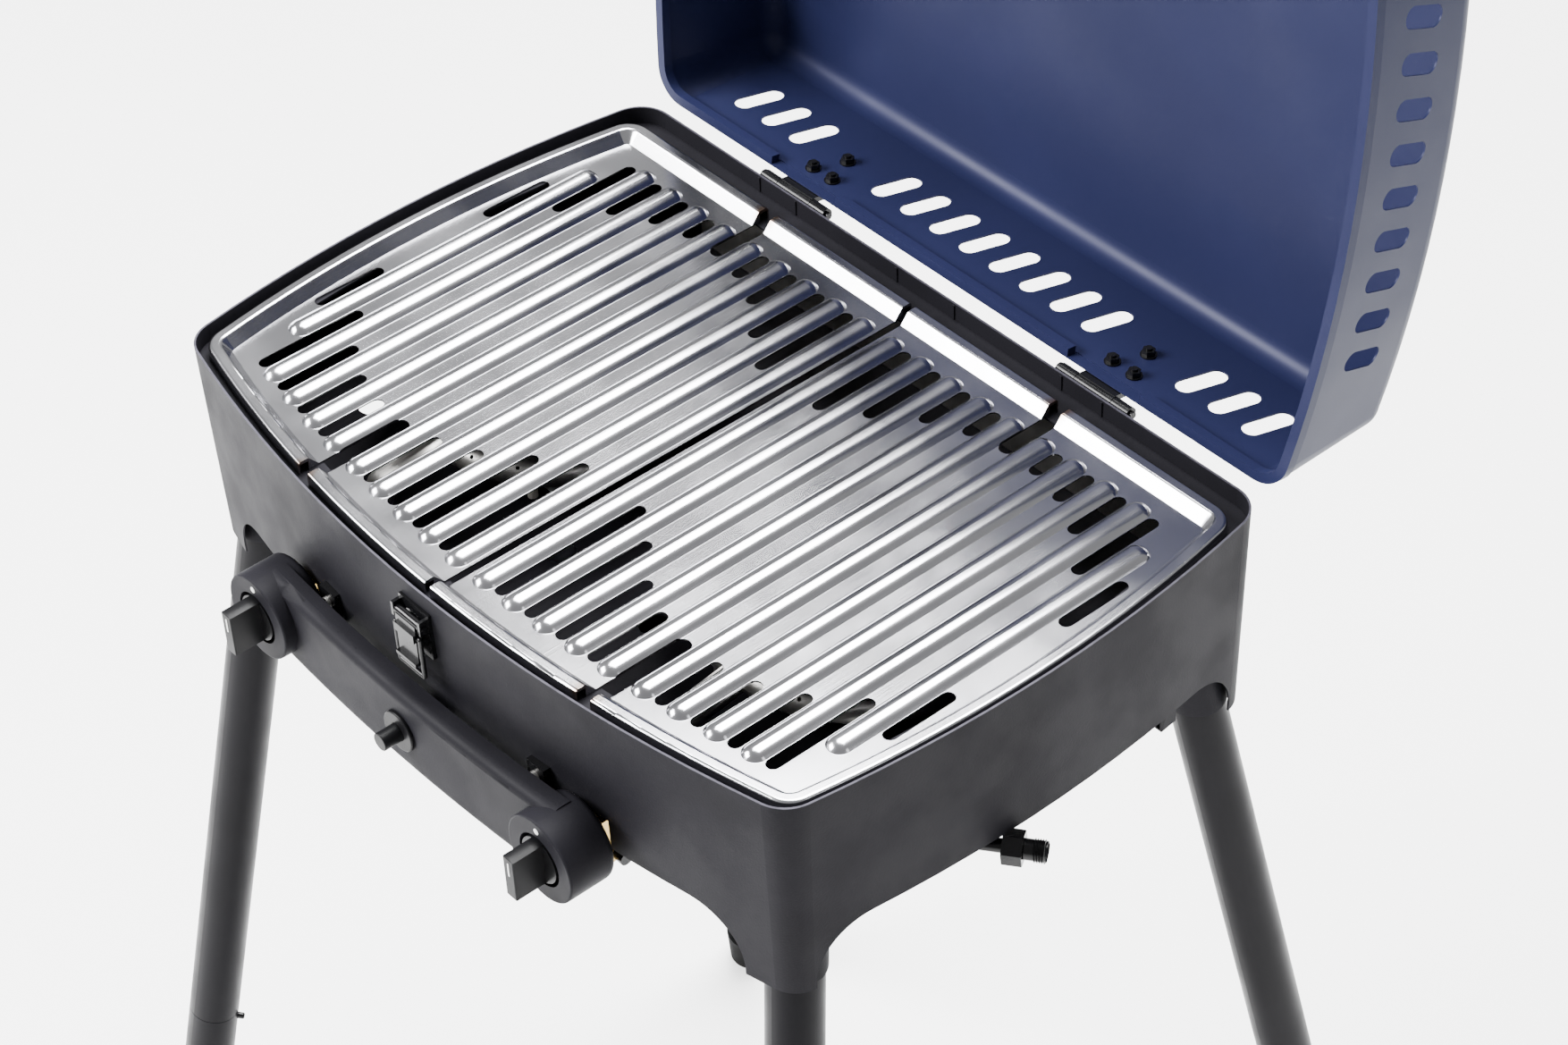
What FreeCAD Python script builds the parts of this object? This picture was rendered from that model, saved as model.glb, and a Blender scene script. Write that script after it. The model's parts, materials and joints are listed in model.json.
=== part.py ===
import FreeCAD, Part
import math
import os

V = FreeCAD.Vector

# Folding two-burner camp grill on four plug-in legs, lid standing open.
# Millimetres.  While building, z = 0 is the grate's valley plane, x = 0 the
# middle, +y the hinge side; everything is shifted at the end so that the
# origin is the bottom centre of the whole standing object.

# Plan outline of the burner box: centres of its corner arcs and arc crowns
CORNER_R = 22.0
REAR_CORNER = (238.0, 150.0)
FRONT_CORNER = (238.0, -144.0)
SIDE_CROWN = (250.5, -3.0)
FRONT_CROWN = -172.9

# Burner box
RIM_Z = 9.9
WALL_BOTTOM = -88.0
CORNER_BOTTOM = -127.0
WALL = 1.2
BOX_DRAFT = 3.5
ARCH_SIDE_Y = (-112.0, 118.0)
ARCH_FRONT_X = 190.0
ARCH_R = 34.0
LEDGE_Z = -1.3
LEDGE_WIDTH = 24.0
FLOOR_Z = -66.0
WALL_RIBS = (-150.7, -118.5, -30.4, 17.5, 104.4, 135.9)

# Grates
PITCH = 24.3
RIBS = 10
GRATE_T = 1.0
GRATE_GAP = 5.0
GRATE_SIDE = 5.8
GRATE_REAR = 15.1
GRATE_FRONT = 8.1
BEAD_W = 7.0
BEAD_Z = 7.0
BEAD_SLOPE = 6.0
SLOT_W = 8.4
RIB_R = 9.0
RIB_H = 4.2
RIB_MARGIN = 6.0
REAR_TIP = 130.5
FRONT_TIPS = (-160.0, -159.4, -158.1, -156.3, -154.2, -151.6, -148.4, -144.6, -140.4)
INNER_TIPS = (60.0, 75.6, 94.8, 104.8, 109.3, 108.4, 102.6, 90.3, 69.5)
SIDE_SLOT = (37.0, 84.4)
NOTCH_K = 5

# Lid (drawn closed, then swung open)
LID_OPEN = 98.5
HINGE_Y = 177.0
HINGE_Z = 6.0
LID_RIM_Z = 10.4
LID_DEPTH = 87.0
LID_DRAFT = 8.0
LID_FILLET = 14.0
LID_T = 1.0
LID_BEAD_R = 3.0
VENT_W = 12.0
VENT_L = 31.5
VENT_PITCH = 25.0
VENT_DEPTH = 40.0
VENT_SLANT = 15.0
REAR_VENTS = [-211.0, -186.0, -161.0] + [-87.5 + 25.0 * i for i in range(8)] + [161.0, 186.0, 211.0]
SIDE_VENT_FIRST = 80.0
SIDE_VENTS = 10
HINGE_X = 125.0
HINGE_W = 54.0
PIN_R = 2.2
BARREL_R = 4.0
BARREL_HALF = 14.0
HANDLE_SPAN = 150.0
HANDLE_R = 9.0
HANDLE_OUT = 42.0
HANDLE_Z = 52.0

# Toggle latch
LATCH_PIVOT_Z = -8.0
BAIL_PIVOT = 8.0
BAIL_LENGTH = 26.0
BAIL_R = 1.4

# Legs
LEG_TOP_X = 236.5
LEG_FRONT_Y = -144.0
LEG_REAR_Y = 148.0
LEG_REF_Z = -130.0
SPLAY_X = 0.13
SPLAY_Y = 0.165
LEG_R = 16.0
LEG_T = 1.1
GROUND_Z = -880.0
LEG_JOINT_Z = -538.0
SOCKET_GAP = 0.3
SOCKET_T = 1.2
SPIGOT = 60.0
SPIGOT_GAP = 0.3
BUTTON_R = 2.2
BUTTON_OUT = 4.5
BUTTON_BELOW = 6.0
FOOT_R = 19.0
FOOT_H = 34.0

# Control panel, knobs, igniter
KNOB_X = 126.0
KNOB_Z = -80.0
BEZEL_R = 26.3
BEZEL_FACE = -219.4
BEZEL_DEPTH = 30.0
RECESS_R = 16.2
RECESS_D = 7.0
PANEL_END_Y = -209.4
PANEL_CROWN = -214.5
PANEL_DEPTH = 13.0
PANEL_H = 54.0
PANEL_T = 1.5
PANEL_ROUND = 6.0
KNOB_R = 14.0
GRIP_W = 8.6
GRIP_H = 28.5
GRIP_OUT = 19.3
STEM_R = 3.0
KNOB_PRESS = 3.0
BUTTON_X = 0.0
IGN_R = 5.4
IGN_OUT = 14.0
IGN_RING_R = 12.5

# Gas pipework
PIPE_R = 4.0
PIPE_Z = -98.0
MANIFOLD_Y = -176.0
INLET_START = (62.0, -176.0)
INLET_MARK = (259.4, -33.1)
HEX_AF = 17.0
THREAD_R = 6.58
THREAD_CORE_R = 5.5
HEX_SPAN = (10.5, 21.5)
NECK_END = 24.5
THREAD_END = 34.0

# Burners and tray
BURNER_X = 129.0
BURNER_Y = 2.0
BURNER_RX = 84.0
BURNER_TUBE = 9.0
BURNER_Z = -34.0
MIXER_R = 9.0
TRAY_X = 190.0
TRAY_Y = (-112.0, 168.0)
TRAY_Z = (-85.0, -73.0)


def turned(shape, centre, axis, angle):
    out = shape.copy()
    out.rotate(centre, axis, angle)
    return out


def moved(shape, x, y, z):
    out = shape.copy()
    out.translate(V(x, y, z))
    return out


def box(x0, x1, y0, y1, z0, z1):
    return Part.makeBox(x1 - x0, y1 - y0, z1 - z0, V(x0, y0, z0))


def rod(a, b, r):
    a = V(*a)
    b = V(*b)
    return Part.makeCylinder(r, (b - a).Length, a, b - a)


def tube(a, b, r, r_in):
    return rod(a, b, r).cut(rod(a, b, r_in))


def fused(shapes):
    return shapes[0].multiFuse(shapes[1:]).removeSplitter()


def largest(shape):
    return max(shape.Solids, key=lambda s: s.Volume)


def mirrored(shape):
    return shape.mirror(V(0, 0, 0), V(1, 0, 0))


def core_wire(z, rear_in=0.0, front_in=0.0):
    """Plan line of the box at one height; its ends can be drawn in."""
    rx, ry = REAR_CORNER[0], REAR_CORNER[1] - rear_in
    fx, fy = FRONT_CORNER[0], FRONT_CORNER[1] + front_in
    sx, sy = SIDE_CROWN
    crown = FRONT_CROWN + front_in
    rear = Part.makeLine(V(rx, ry, z), V(-rx, ry, z))
    left = Part.Arc(V(-rx, ry, z), V(-sx, sy, z), V(-fx, fy, z)).toShape()
    front = Part.Arc(V(-fx, fy, z), V(0, crown, z), V(fx, fy, z)).toShape()
    right = Part.Arc(V(fx, fy, z), V(sx, sy, z), V(rx, ry, z)).toShape()
    return Part.Wire([rear, left, front, right])


def outline(inset, z):
    return core_wire(z).makeOffset2D(CORNER_R - inset, 0)


def plate(inset, z0, z1):
    return Part.Face(outline(inset, z0)).extrude(V(0, 0, z1 - z0))


def drafted(inset_top, z_top, inset_bottom, z_bottom):
    return Part.makeLoft([outline(inset_top, z_top), outline(inset_bottom, z_bottom)], True, True)


def grate_plate(inset, z0, z1):
    """Slab in the grates' own plan outline, inset from their edge."""
    wire = core_wire(z0, GRATE_REAR - GRATE_SIDE, GRATE_FRONT - GRATE_SIDE)
    face = Part.Face(wire.makeOffset2D(CORNER_R - GRATE_SIDE - inset, 0))
    return face.extrude(V(0, 0, z1 - z0))


def grate_funnel(inset_low, z_low, inset_high, z_high):
    """Tapered block in the grates' plan outline."""
    wires = []
    for inset, z in ((inset_low, z_low), (inset_high, z_high)):
        wire = core_wire(z, GRATE_REAR - GRATE_SIDE, GRATE_FRONT - GRATE_SIDE)
        wires.append(wire.makeOffset2D(CORNER_R - GRATE_SIDE - inset, 0))
    return Part.makeLoft(wires, True, True)


def front_y(x, inset):
    """Front of the plan outline at a given x and inset."""
    fx, fy = FRONT_CORNER
    rise = fy - FRONT_CROWN
    big = (fx * fx + rise * rise) / (2 * rise)
    r = big + CORNER_R - inset
    return FRONT_CROWN + big - math.sqrt(r * r - x * x)


def box_inset(z):
    return BOX_DRAFT * (RIM_Z - z) / (RIM_Z - CORNER_BOTTOM)


def cavity():
    return drafted(WALL, RIM_Z + 1, BOX_DRAFT + WALL, CORNER_BOTTOM - 1)


def arch_cutter(length, axis_x):
    """Long prism that cuts the lower edge between two corner legs."""
    low = CORNER_BOTTOM - 5
    high = WALL_BOTTOM
    lo, hi = (-ARCH_FRONT_X - ARCH_R, ARCH_FRONT_X + ARCH_R)
    if not axis_x:
        lo, hi = (ARCH_SIDE_Y[0] - ARCH_R, ARCH_SIDE_Y[1] + ARCH_R)
    body = box(-length, length, lo, hi, low, high)
    for edge, side in ((lo, 1), (hi, -1)):
        corner = box(-length, length, min(edge, edge + side * ARCH_R), max(edge, edge + side * ARCH_R),
                     high - ARCH_R, high)
        round_part = rod((-length, edge + side * ARCH_R, high - ARCH_R),
                         (length, edge + side * ARCH_R, high - ARCH_R), ARCH_R)
        body = body.cut(corner.cut(round_part))
    if axis_x:
        body = turned(body, V(0, 0, 0), V(0, 0, 1), 90)
    return body


def burner_box():
    shell = drafted(0, RIM_Z, BOX_DRAFT, CORNER_BOTTOM).cut(cavity())
    shell = shell.cut(arch_cutter(600, True)).cut(arch_cutter(600, False))
    ledge = plate(WALL * 0.5, LEDGE_Z - 1.5, LEDGE_Z).cut(plate(LEDGE_WIDTH, LEDGE_Z - 2, LEDGE_Z + 1))
    floor = cavity().common(box(-400, 400, -400, 400, FLOOR_Z - 1.5, FLOOR_Z))
    floor = floor.cut(Part.makeCompound(floor_holes()))
    tray_slot = box(-TRAY_X - 3, TRAY_X + 3, 150, 200, WALL_BOTTOM - 1, TRAY_Z[1] + 2)
    valve_gaps = []
    for side in (-1, 1):
        x = side * KNOB_X
        valve_gaps.append(box(x - 13, x + 13, -200, -165, WALL_BOTTOM - 20, KNOB_Z + 13))
    rear = REAR_CORNER[1] + CORNER_R - WALL
    ribs = [box(x - 0.8, x + 0.8, rear - 0.9, rear + 0.3, LEDGE_Z - 0.5, RIM_Z - 1.2) for x in WALL_RIBS]
    shell = fused([shell, ledge, floor] + ribs)
    return shell.cut(Part.makeCompound(valve_gaps + [tray_slot]))


def mixer_path(x):
    """Centre line of a mixing tube, from the valve's jet up to the burner ring."""
    return [(x, -162, KNOB_Z), (x, -152, KNOB_Z), (x, -126, BURNER_Z - 6), (x, BURNER_Y - BURNER_RX, BURNER_Z)]


def floor_holes():
    holes = []
    for side in (-1, 1):
        cx = side * BURNER_X
        holes.append(box(cx - 52, cx + 52, -45, 49, FLOOR_Z - 5, FLOOR_Z + 5))
        path = mixer_path(cx)
        holes.append(rod(path[1], path[2], MIXER_R + 1.2))
        for y in (-72.0, 104.0):
            for x in (-88.0, 88.0):
                holes.append(rod((cx + x, y, FLOOR_Z - 5), (cx + x, y, FLOOR_Z + 5), 9))
    return holes


def heat_shields():
    """Bent sheets along both long inner walls, with upright stiffening ribs."""
    parts = []
    inner = drafted(WALL + 1.0, RIM_Z + 1, BOX_DRAFT + WALL + 1.0, CORNER_BOTTOM - 1)
    inset = inner.cut(drafted(WALL + 2.0, RIM_Z + 1, BOX_DRAFT + WALL + 2.0, CORNER_BOTTOM - 1))
    for y0, y1 in ((100.0, 200.0), (-220.0, -100.0)):
        sheet = inset.common(box(-205, 205, y0, y1, FLOOR_Z + 0.5, LEDGE_Z - 2.5))
        parts.append(sheet)
    return Part.makeCompound(parts)


def leg_axis(sx, sy, z):
    drop = LEG_REF_Z - z
    base_y = LEG_FRONT_Y if sy < 0 else LEG_REAR_Y
    return (sx * (LEG_TOP_X + SPLAY_X * drop), base_y + sy * SPLAY_Y * drop, z)


def leg_sockets():
    sockets = []
    room = drafted(WALL + 0.05, RIM_Z, BOX_DRAFT + WALL + 0.05, CORNER_BOTTOM)
    for sx in (-1, 1):
        for sy in (-1, 1):
            low = leg_axis(sx, sy, CORNER_BOTTOM - 1)
            high = leg_axis(sx, sy, FLOOR_Z - 1.6)
            ring = tube(low, high, LEG_R + SOCKET_GAP + SOCKET_T, LEG_R + SOCKET_GAP)
            cap = rod(leg_axis(sx, sy, FLOOR_Z - 6), high, LEG_R + SOCKET_GAP + SOCKET_T)
            ring = ring.fuse(cap).common(room)
            level = box(-400, 400, -300, 300, CORNER_BOTTOM + 0.5, FLOOR_Z - 1.6)
            sockets.append(largest(ring.common(level)))
    return Part.makeCompound(sockets)


def leg_upper(sx, sy):
    top = leg_axis(sx, sy, FLOOR_Z - 7)
    joint = leg_axis(sx, sy, LEG_JOINT_Z)
    low = leg_axis(sx, sy, LEG_JOINT_Z - SPIGOT)
    lap = leg_axis(sx, sy, LEG_JOINT_Z + SPIGOT / 2)
    inner = LEG_R - LEG_T
    spigot = tube(lap, low, inner - SPIGOT_GAP, inner - SPIGOT_GAP - LEG_T)
    swage = tube(lap, joint, inner + 0.1, inner - SPIGOT_GAP - 0.3)
    body = fused([tube(top, joint, LEG_R, inner), swage, spigot])
    return body.cut(button_rod(sx, sy, BUTTON_R + 0.3, LEG_R + 4))


def button_rod(sx, sy, r, reach):
    """Round rod from the leg's axis outwards, square to the leg, facing the middle."""
    z = LEG_JOINT_Z - BUTTON_BELOW
    centre = V(*leg_axis(sx, sy, z))
    out = V(-sx, -sy, 0)
    axis = V(*leg_axis(sx, sy, z - 1)) - centre
    out = (out - axis * (out.dot(axis) / axis.dot(axis))).normalize()
    return Part.makeCylinder(r, reach, centre, out)


def leg_lower(sx, sy):
    joint = leg_axis(sx, sy, LEG_JOINT_Z - 0.4)
    low = leg_axis(sx, sy, GROUND_Z + 6)
    body = tube(joint, low, LEG_R, LEG_R - LEG_T)
    return body.cut(button_rod(sx, sy, BUTTON_R + 0.3, LEG_R + 4))


def leg_button(sx, sy):
    pin = button_rod(sx, sy, BUTTON_R, LEG_R + BUTTON_OUT)
    tip = [e for e in pin.Edges if len(e.Vertexes) == 1]
    pin = pin.makeFillet(BUTTON_R * 0.6, tip)
    return pin.cut(button_rod(sx, sy, BUTTON_R + 1, LEG_R * 0.5))


def foot_cap(sx, sy):
    low = leg_axis(sx, sy, GROUND_Z - 20)
    top = leg_axis(sx, sy, GROUND_Z + FOOT_H)
    cap = rod(low, top, FOOT_R)
    hollow = rod(leg_axis(sx, sy, GROUND_Z + 6), leg_axis(sx, sy, GROUND_Z + FOOT_H + 5), LEG_R)
    ground = box(-600, 600, -600, 600, GROUND_Z - 60, GROUND_Z)
    return cap.cut(hollow).cut(ground)


def slot(x, y0, y1, width, z0, z1):
    """Round-ended slot along y."""
    r = width / 2
    lo, hi = min(y0, y1), max(y0, y1)
    body = box(x - r, x + r, lo + r, hi - r, z0, z1)
    ends = [rod((x, lo + r, z0), (x, lo + r, z1), r), rod((x, hi - r, z0), (x, hi - r, z1), r)]
    return fused([body] + ends)


def rib(x, y0, y1, r, h):
    """Round-topped rib along y that stands h above the sheet."""
    z = h - r
    bar = rod((x, y0 + r, z), (x, y1 - r, z), r)
    ends = [Part.makeSphere(r, V(x, y0 + r, z)), Part.makeSphere(r, V(x, y1 - r, z))]
    return fused([bar] + ends)


def rib_ends(k):
    """Front and rear end of the rib between slot k and slot k + 1."""
    front = FRONT_TIPS[min(k, 8)] - RIB_MARGIN
    rear = REAR_TIP + RIB_MARGIN
    if k == RIBS - 1:
        return -112.0, 112.0
    return front, rear


def grate():
    """Right-hand pressed plate."""
    half = box(GRATE_GAP / 2, 400, -300, 300, -50, 50)
    sheet = grate_plate(0, -GRATE_T, 0)
    well = grate_funnel(BEAD_W + BEAD_SLOPE, 0, BEAD_W, BEAD_Z + 0.01)
    bead = grate_plate(0, -GRATE_T, BEAD_Z).cut(well)
    top = [e for e in bead.Edges if e.BoundBox.ZMin > BEAD_Z - 0.1]
    bead = bead.makeFillet(2.4, top)
    solid = sheet.fuse(bead)
    ribs = []
    hollows = []
    for k in range(RIBS):
        x = (k + 0.5) * PITCH
        y0, y1 = rib_ends(k)
        ribs.append(rib(x, y0, y1, RIB_R, RIB_H))
        hollows.append(rib(x, y0 + GRATE_T, y1 - GRATE_T, RIB_R - GRATE_T, RIB_H - GRATE_T))
    solid = solid.multiFuse(ribs)
    solid = solid.cut(box(-400, 400, -300, 300, -50, -GRATE_T))
    channel = grate_plate(GRATE_T, -GRATE_T - 1, BEAD_Z - GRATE_T - 1.0)
    channel = channel.cut(grate_plate(BEAD_W - 0.4, -GRATE_T - 2, BEAD_Z))
    solid = solid.cut(Part.makeCompound(hollows)).cut(channel)
    solid = solid.cut(Part.makeCompound(grate_slots()))
    return largest(solid.common(half))


def grate_slots():
    z0, z1 = -8, 14
    cuts = []
    for k in range(1, RIBS):
        inner = INNER_TIPS[k - 1]
        x = k * PITCH
        if k == NOTCH_K:
            cuts.append(slot(x, REAR_TIP + 100, inner, SLOT_W + 2, z0, z1))
            cuts.append(slot(x, -REAR_TIP - 120, -inner, SLOT_W + 2, z0, z1))
            continue
        cuts.append(slot(x, inner, REAR_TIP, SLOT_W, z0, z1))
        cuts.append(slot(x, FRONT_TIPS[k - 1], -inner, SLOT_W, z0, z1))
    for side in (-1, 1):
        cuts.append(slot(RIBS * PITCH, side * SIDE_SLOT[0], side * SIDE_SLOT[1], SLOT_W, z0, z1))
    return cuts


def opened(shape):
    return turned(shape, V(0, HINGE_Y, HINGE_Z), V(1, 0, 0), -LID_OPEN)


def lid_inset(depth):
    """How far the drafted lid wall has drawn in at a depth from the rim."""
    return LID_DRAFT * depth / LID_DEPTH


def lid_solid(grow):
    """Closed lid body; grow > 0 shrinks it inwards for the inside surface."""
    z_top = LID_RIM_Z + LID_DEPTH - grow
    z_low = LID_RIM_Z - (1.0 if grow else 0.0)
    body = drafted(grow + lid_inset(z_top - LID_RIM_Z), z_top, grow + lid_inset(z_low - LID_RIM_Z), z_low)
    top = [e for e in body.Edges if e.BoundBox.ZMin > z_top - 0.1]
    return body.makeFillet(LID_FILLET - grow, top)


def on_lid_wall(shape, x, depth, proud):
    """Moves a shape built at the origin, facing +y, onto the drafted rear wall of the closed lid."""
    tilt = math.degrees(math.atan2(LID_DRAFT, LID_DEPTH))
    y = REAR_CORNER[1] + CORNER_R - lid_inset(depth) + proud
    return moved(turned(shape, V(0, 0, 0), V(1, 0, 0), tilt), x, y, LID_RIM_Z + depth)


def vent(length):
    """Round-ended slot cutter through a wall, axis of the hole along y."""
    r = VENT_W / 2
    half = length / 2 - r
    body = box(-r, r, -20, 20, -half, half)
    ends = [rod((0, -20, half), (0, 20, half), r), rod((0, -20, -half), (0, 20, -half), r)]
    return turned(fused([body] + ends), V(0, 0, 0), V(0, 1, 0), VENT_SLANT)


def lid_shell():
    shell = lid_solid(0).cut(lid_solid(LID_T))
    bead = plate(0, LID_RIM_Z, LID_RIM_Z + 2 * LID_BEAD_R).cut(
        plate(2 * LID_BEAD_R, LID_RIM_Z - 1, LID_RIM_Z + 2 * LID_BEAD_R + 1))
    cuts = []
    z = LID_RIM_Z + VENT_DEPTH
    for x in REAR_VENTS:
        cuts.append(moved(vent(VENT_L), x, 170, z))
    for i in range(SIDE_VENTS):
        y = HINGE_Y - SIDE_VENT_FIRST - i * VENT_PITCH
        for side in (-1, 1):
            cuts.append(moved(turned(vent(VENT_L), V(0, 0, 0), V(0, 0, 1), 90), side * 270, y, z))
    inner = REAR_CORNER[1] + CORNER_R - LID_T - 0.1
    gaps = [box(s * HINGE_X - 28, s * HINGE_X + 28, 150, inner, LID_RIM_Z - 1, LID_RIM_Z + 7) for s in (-1, 1)]
    solid = shell.fuse(bead).cut(Part.makeCompound(cuts)).cut(Part.makeCompound(gaps))
    return opened(solid)


def lid_handle():
    y = front_y(0, 4) - HANDLE_OUT
    z = LID_RIM_Z + HANDLE_Z
    bar = rod((-HANDLE_SPAN / 2, y, z), (HANDLE_SPAN / 2, y, z), HANDLE_R)
    edges = [e for e in bar.Edges if len(e.Vertexes) == 1]
    return opened(bar.makeFillet(3, edges))


def handle_posts():
    posts = []
    z = LID_RIM_Z + HANDLE_Z
    for side in (-1, 1):
        x = side * (HANDLE_SPAN / 2 - 18)
        y_bar = front_y(0, 4) - HANDLE_OUT + HANDLE_R
        post = rod((x, y_bar - 1, z), (x, -150, z), 6).cut(lid_solid(-0.02))
        flange = rod((x, front_y(x, 5) - 2.5, z), (x, -150, z), 10).cut(lid_solid(-0.02))
        bar = rod((-200, y_bar - HANDLE_R, z), (200, y_bar - HANDLE_R, z), HANDLE_R)
        posts.append(largest(fused([post, flange]).cut(bar)))
    return opened(Part.makeCompound(posts))


def latch_keeper():
    y = front_y(0, 0)
    plate_part = box(-11, 11, y - 1.6, y - 0.2, LID_RIM_Z + 8, LID_RIM_Z + 24)
    hook = box(-7, 7, y - 5.5, y - 1.6, LID_RIM_Z + 16, LID_RIM_Z + 18)
    lip = box(-7, 7, y - 5.5, y - 4.0, LID_RIM_Z + 18, LID_RIM_Z + 21)
    return opened(fused([plate_part, hook, lip]).cut(lid_solid(-0.02)))


def hinge_body_leaves():
    leaves = []
    rear = REAR_CORNER[1] + CORNER_R
    for side in (-1, 1):
        x = side * HINGE_X
        room = drafted(-0.03, RIM_Z + 1, BOX_DRAFT - 0.03, CORNER_BOTTOM)
        leaf = box(x - HINGE_W / 2, x + HINGE_W / 2, rear - 3, rear + 2.1, -32, HINGE_Z + 2).cut(room)
        knuckles = []
        for a, b in ((-HINGE_W / 2, -BARREL_HALF - 0.4), (BARREL_HALF + 0.4, HINGE_W / 2)):
            knuckles.append(rod((x + a, HINGE_Y, HINGE_Z), (x + b, HINGE_Y, HINGE_Z), BARREL_R))
        window = box(x - BARREL_HALF - 0.4, x + BARREL_HALF + 0.4, rear - 5, rear + 5,
                     HINGE_Z - BARREL_R - 1.5, HINGE_Z + 5)
        solid = fused([leaf] + knuckles).cut(window)
        leaves.append(solid.cut(rod((x - 40, HINGE_Y, HINGE_Z), (x + 40, HINGE_Y, HINGE_Z), PIN_R)))
    return Part.makeCompound(leaves)


def hinge_pins():
    pins = []
    for side in (-1, 1):
        x = side * HINGE_X
        pin = rod((x - HINGE_W / 2 - 2, HINGE_Y, HINGE_Z), (x + HINGE_W / 2 + 2, HINGE_Y, HINGE_Z), PIN_R)
        head = rod((x - HINGE_W / 2 - 2, HINGE_Y, HINGE_Z), (x - HINGE_W / 2, HINGE_Y, HINGE_Z), BARREL_R - 0.6)
        pins.append(pin.fuse(head))
    return Part.makeCompound(pins)


def hinge_lid_leaves():
    leaves = []
    for side in (-1, 1):
        x = side * HINGE_X
        barrel = rod((x - BARREL_HALF, HINGE_Y, HINGE_Z), (x + BARREL_HALF, HINGE_Y, HINGE_Z), BARREL_R)
        neck = box(x - BARREL_HALF, x + BARREL_HALF, HINGE_Y - 4.5, HINGE_Y - 1, HINGE_Z, LID_RIM_Z + 9)
        leaf = on_lid_wall(box(-20, 20, 0, 2, -15.5, 22), x, 22, 0.03)
        solid = fused([barrel, neck, leaf])
        bore = rod((x - 40, HINGE_Y, HINGE_Z), (x + 40, HINGE_Y, HINGE_Z), PIN_R + 0.06)
        leaves.append(solid.cut(bore))
    return opened(Part.makeCompound(leaves))


def hinge_nuts():
    """Three hex nuts per hinge on the inside of the lid's rear wall."""
    corners = [V(3.9 * math.cos(math.radians(60 * i)), 0, 3.9 * math.sin(math.radians(60 * i))) for i in range(7)]
    hexagon = Part.Face(Part.makePolygon(corners)).extrude(V(0, -3.2, 0))
    washer = rod((0, 0, 0), (0, -0.8, 0), 4.8)
    stud = rod((0, -3.0, 0), (0, -5.2, 0), 2.0)
    nut = fused([washer, moved(hexagon, 0, -0.7, 0), stud])
    nuts = []
    for side in (-1, 1):
        for dx, depth in ((-8.4, 15.5), (8.4, 15.5), (0, 35.0)):
            nuts.append(on_lid_wall(nut.copy(), side * HINGE_X + dx, depth, -LID_T - 0.03))
    return opened(Part.makeCompound(nuts))


def bezels():
    parts = []
    y1 = BEZEL_FACE + BEZEL_DEPTH
    for side in (-1, 1):
        x = side * KNOB_X
        body = rod((x, BEZEL_FACE, KNOB_Z), (x, y1, KNOB_Z), BEZEL_R)
        rims = [e for e in body.Edges if len(e.Vertexes) == 1 and e.BoundBox.YMax > y1 - 1]
        body = body.makeFillet(4, rims)
        front = [e for e in body.Edges if e.BoundBox.YMax < BEZEL_FACE + 0.1 and e.Length > 10]
        body = body.makeFillet(1.2, front)
        recess = rod((x, BEZEL_FACE - 1, KNOB_Z), (x, BEZEL_FACE + RECESS_D, KNOB_Z), RECESS_R)
        bore = rod((x, BEZEL_FACE + RECESS_D + 3, KNOB_Z), (x, y1 + 1, KNOB_Z), 20)
        hole = rod((x, BEZEL_FACE, KNOB_Z), (x, y1, KNOB_Z), STEM_R + 1.2)
        parts.append(body.cut(recess).cut(bore).cut(hole))
    return Part.makeCompound(parts)


def panel_profile(front_shift, z0, z1):
    """Bowed bar between the two bezels."""
    x = KNOB_X
    outer = Part.Arc(V(-x, PANEL_END_Y + front_shift, z0), V(0, PANEL_CROWN + front_shift, z0),
                     V(x, PANEL_END_Y + front_shift, z0)).toShape()
    back_y = PANEL_END_Y + PANEL_DEPTH
    back = Part.Arc(V(x, back_y, z0), V(0, PANEL_CROWN + PANEL_DEPTH, z0), V(-x, back_y, z0)).toShape()
    sides = [Part.makeLine(V(x, PANEL_END_Y + front_shift, z0), V(x, back_y, z0)),
             Part.makeLine(V(-x, back_y, z0), V(-x, PANEL_END_Y + front_shift, z0))]
    wire = Part.Wire(Part.__sortEdges__([outer, sides[0], back, sides[1]]))
    return Part.Face(wire).extrude(V(0, 0, z1 - z0))


def rounded_bar(front_shift, z0, z1, radius):
    solid = panel_profile(front_shift, z0, z1)
    arcs = [e for e in solid.Edges if e.Length > 200 and e.BoundBox.YMax < PANEL_END_Y + front_shift + 0.5]
    return solid.makeFillet(radius, arcs)


def control_panel():
    z0 = KNOB_Z - PANEL_H / 2
    z1 = KNOB_Z + PANEL_H / 2
    solid = rounded_bar(0, z0, z1, PANEL_ROUND)
    inner = rounded_bar(PANEL_T, z0 + PANEL_T, z1 - PANEL_T, PANEL_ROUND - PANEL_T)
    solid = solid.cut(fused([inner, moved(inner, 0, 4, 0)]))
    for side in (-1, 1):
        x = side * KNOB_X
        solid = solid.cut(rod((x, -260, KNOB_Z), (x, -150, KNOB_Z), BEZEL_R + 0.05))
    teeth = [box(x, x + 3, -230, -212.0, z0 - 1, z0 + 2.5) for x in (6, 14, 22, 30)]
    ring_hole = rod((BUTTON_X, -230, KNOB_Z), (BUTTON_X, -190, KNOB_Z), 9.0)
    return largest(solid.cut(ring_hole).cut(Part.makeCompound(teeth)))


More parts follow.
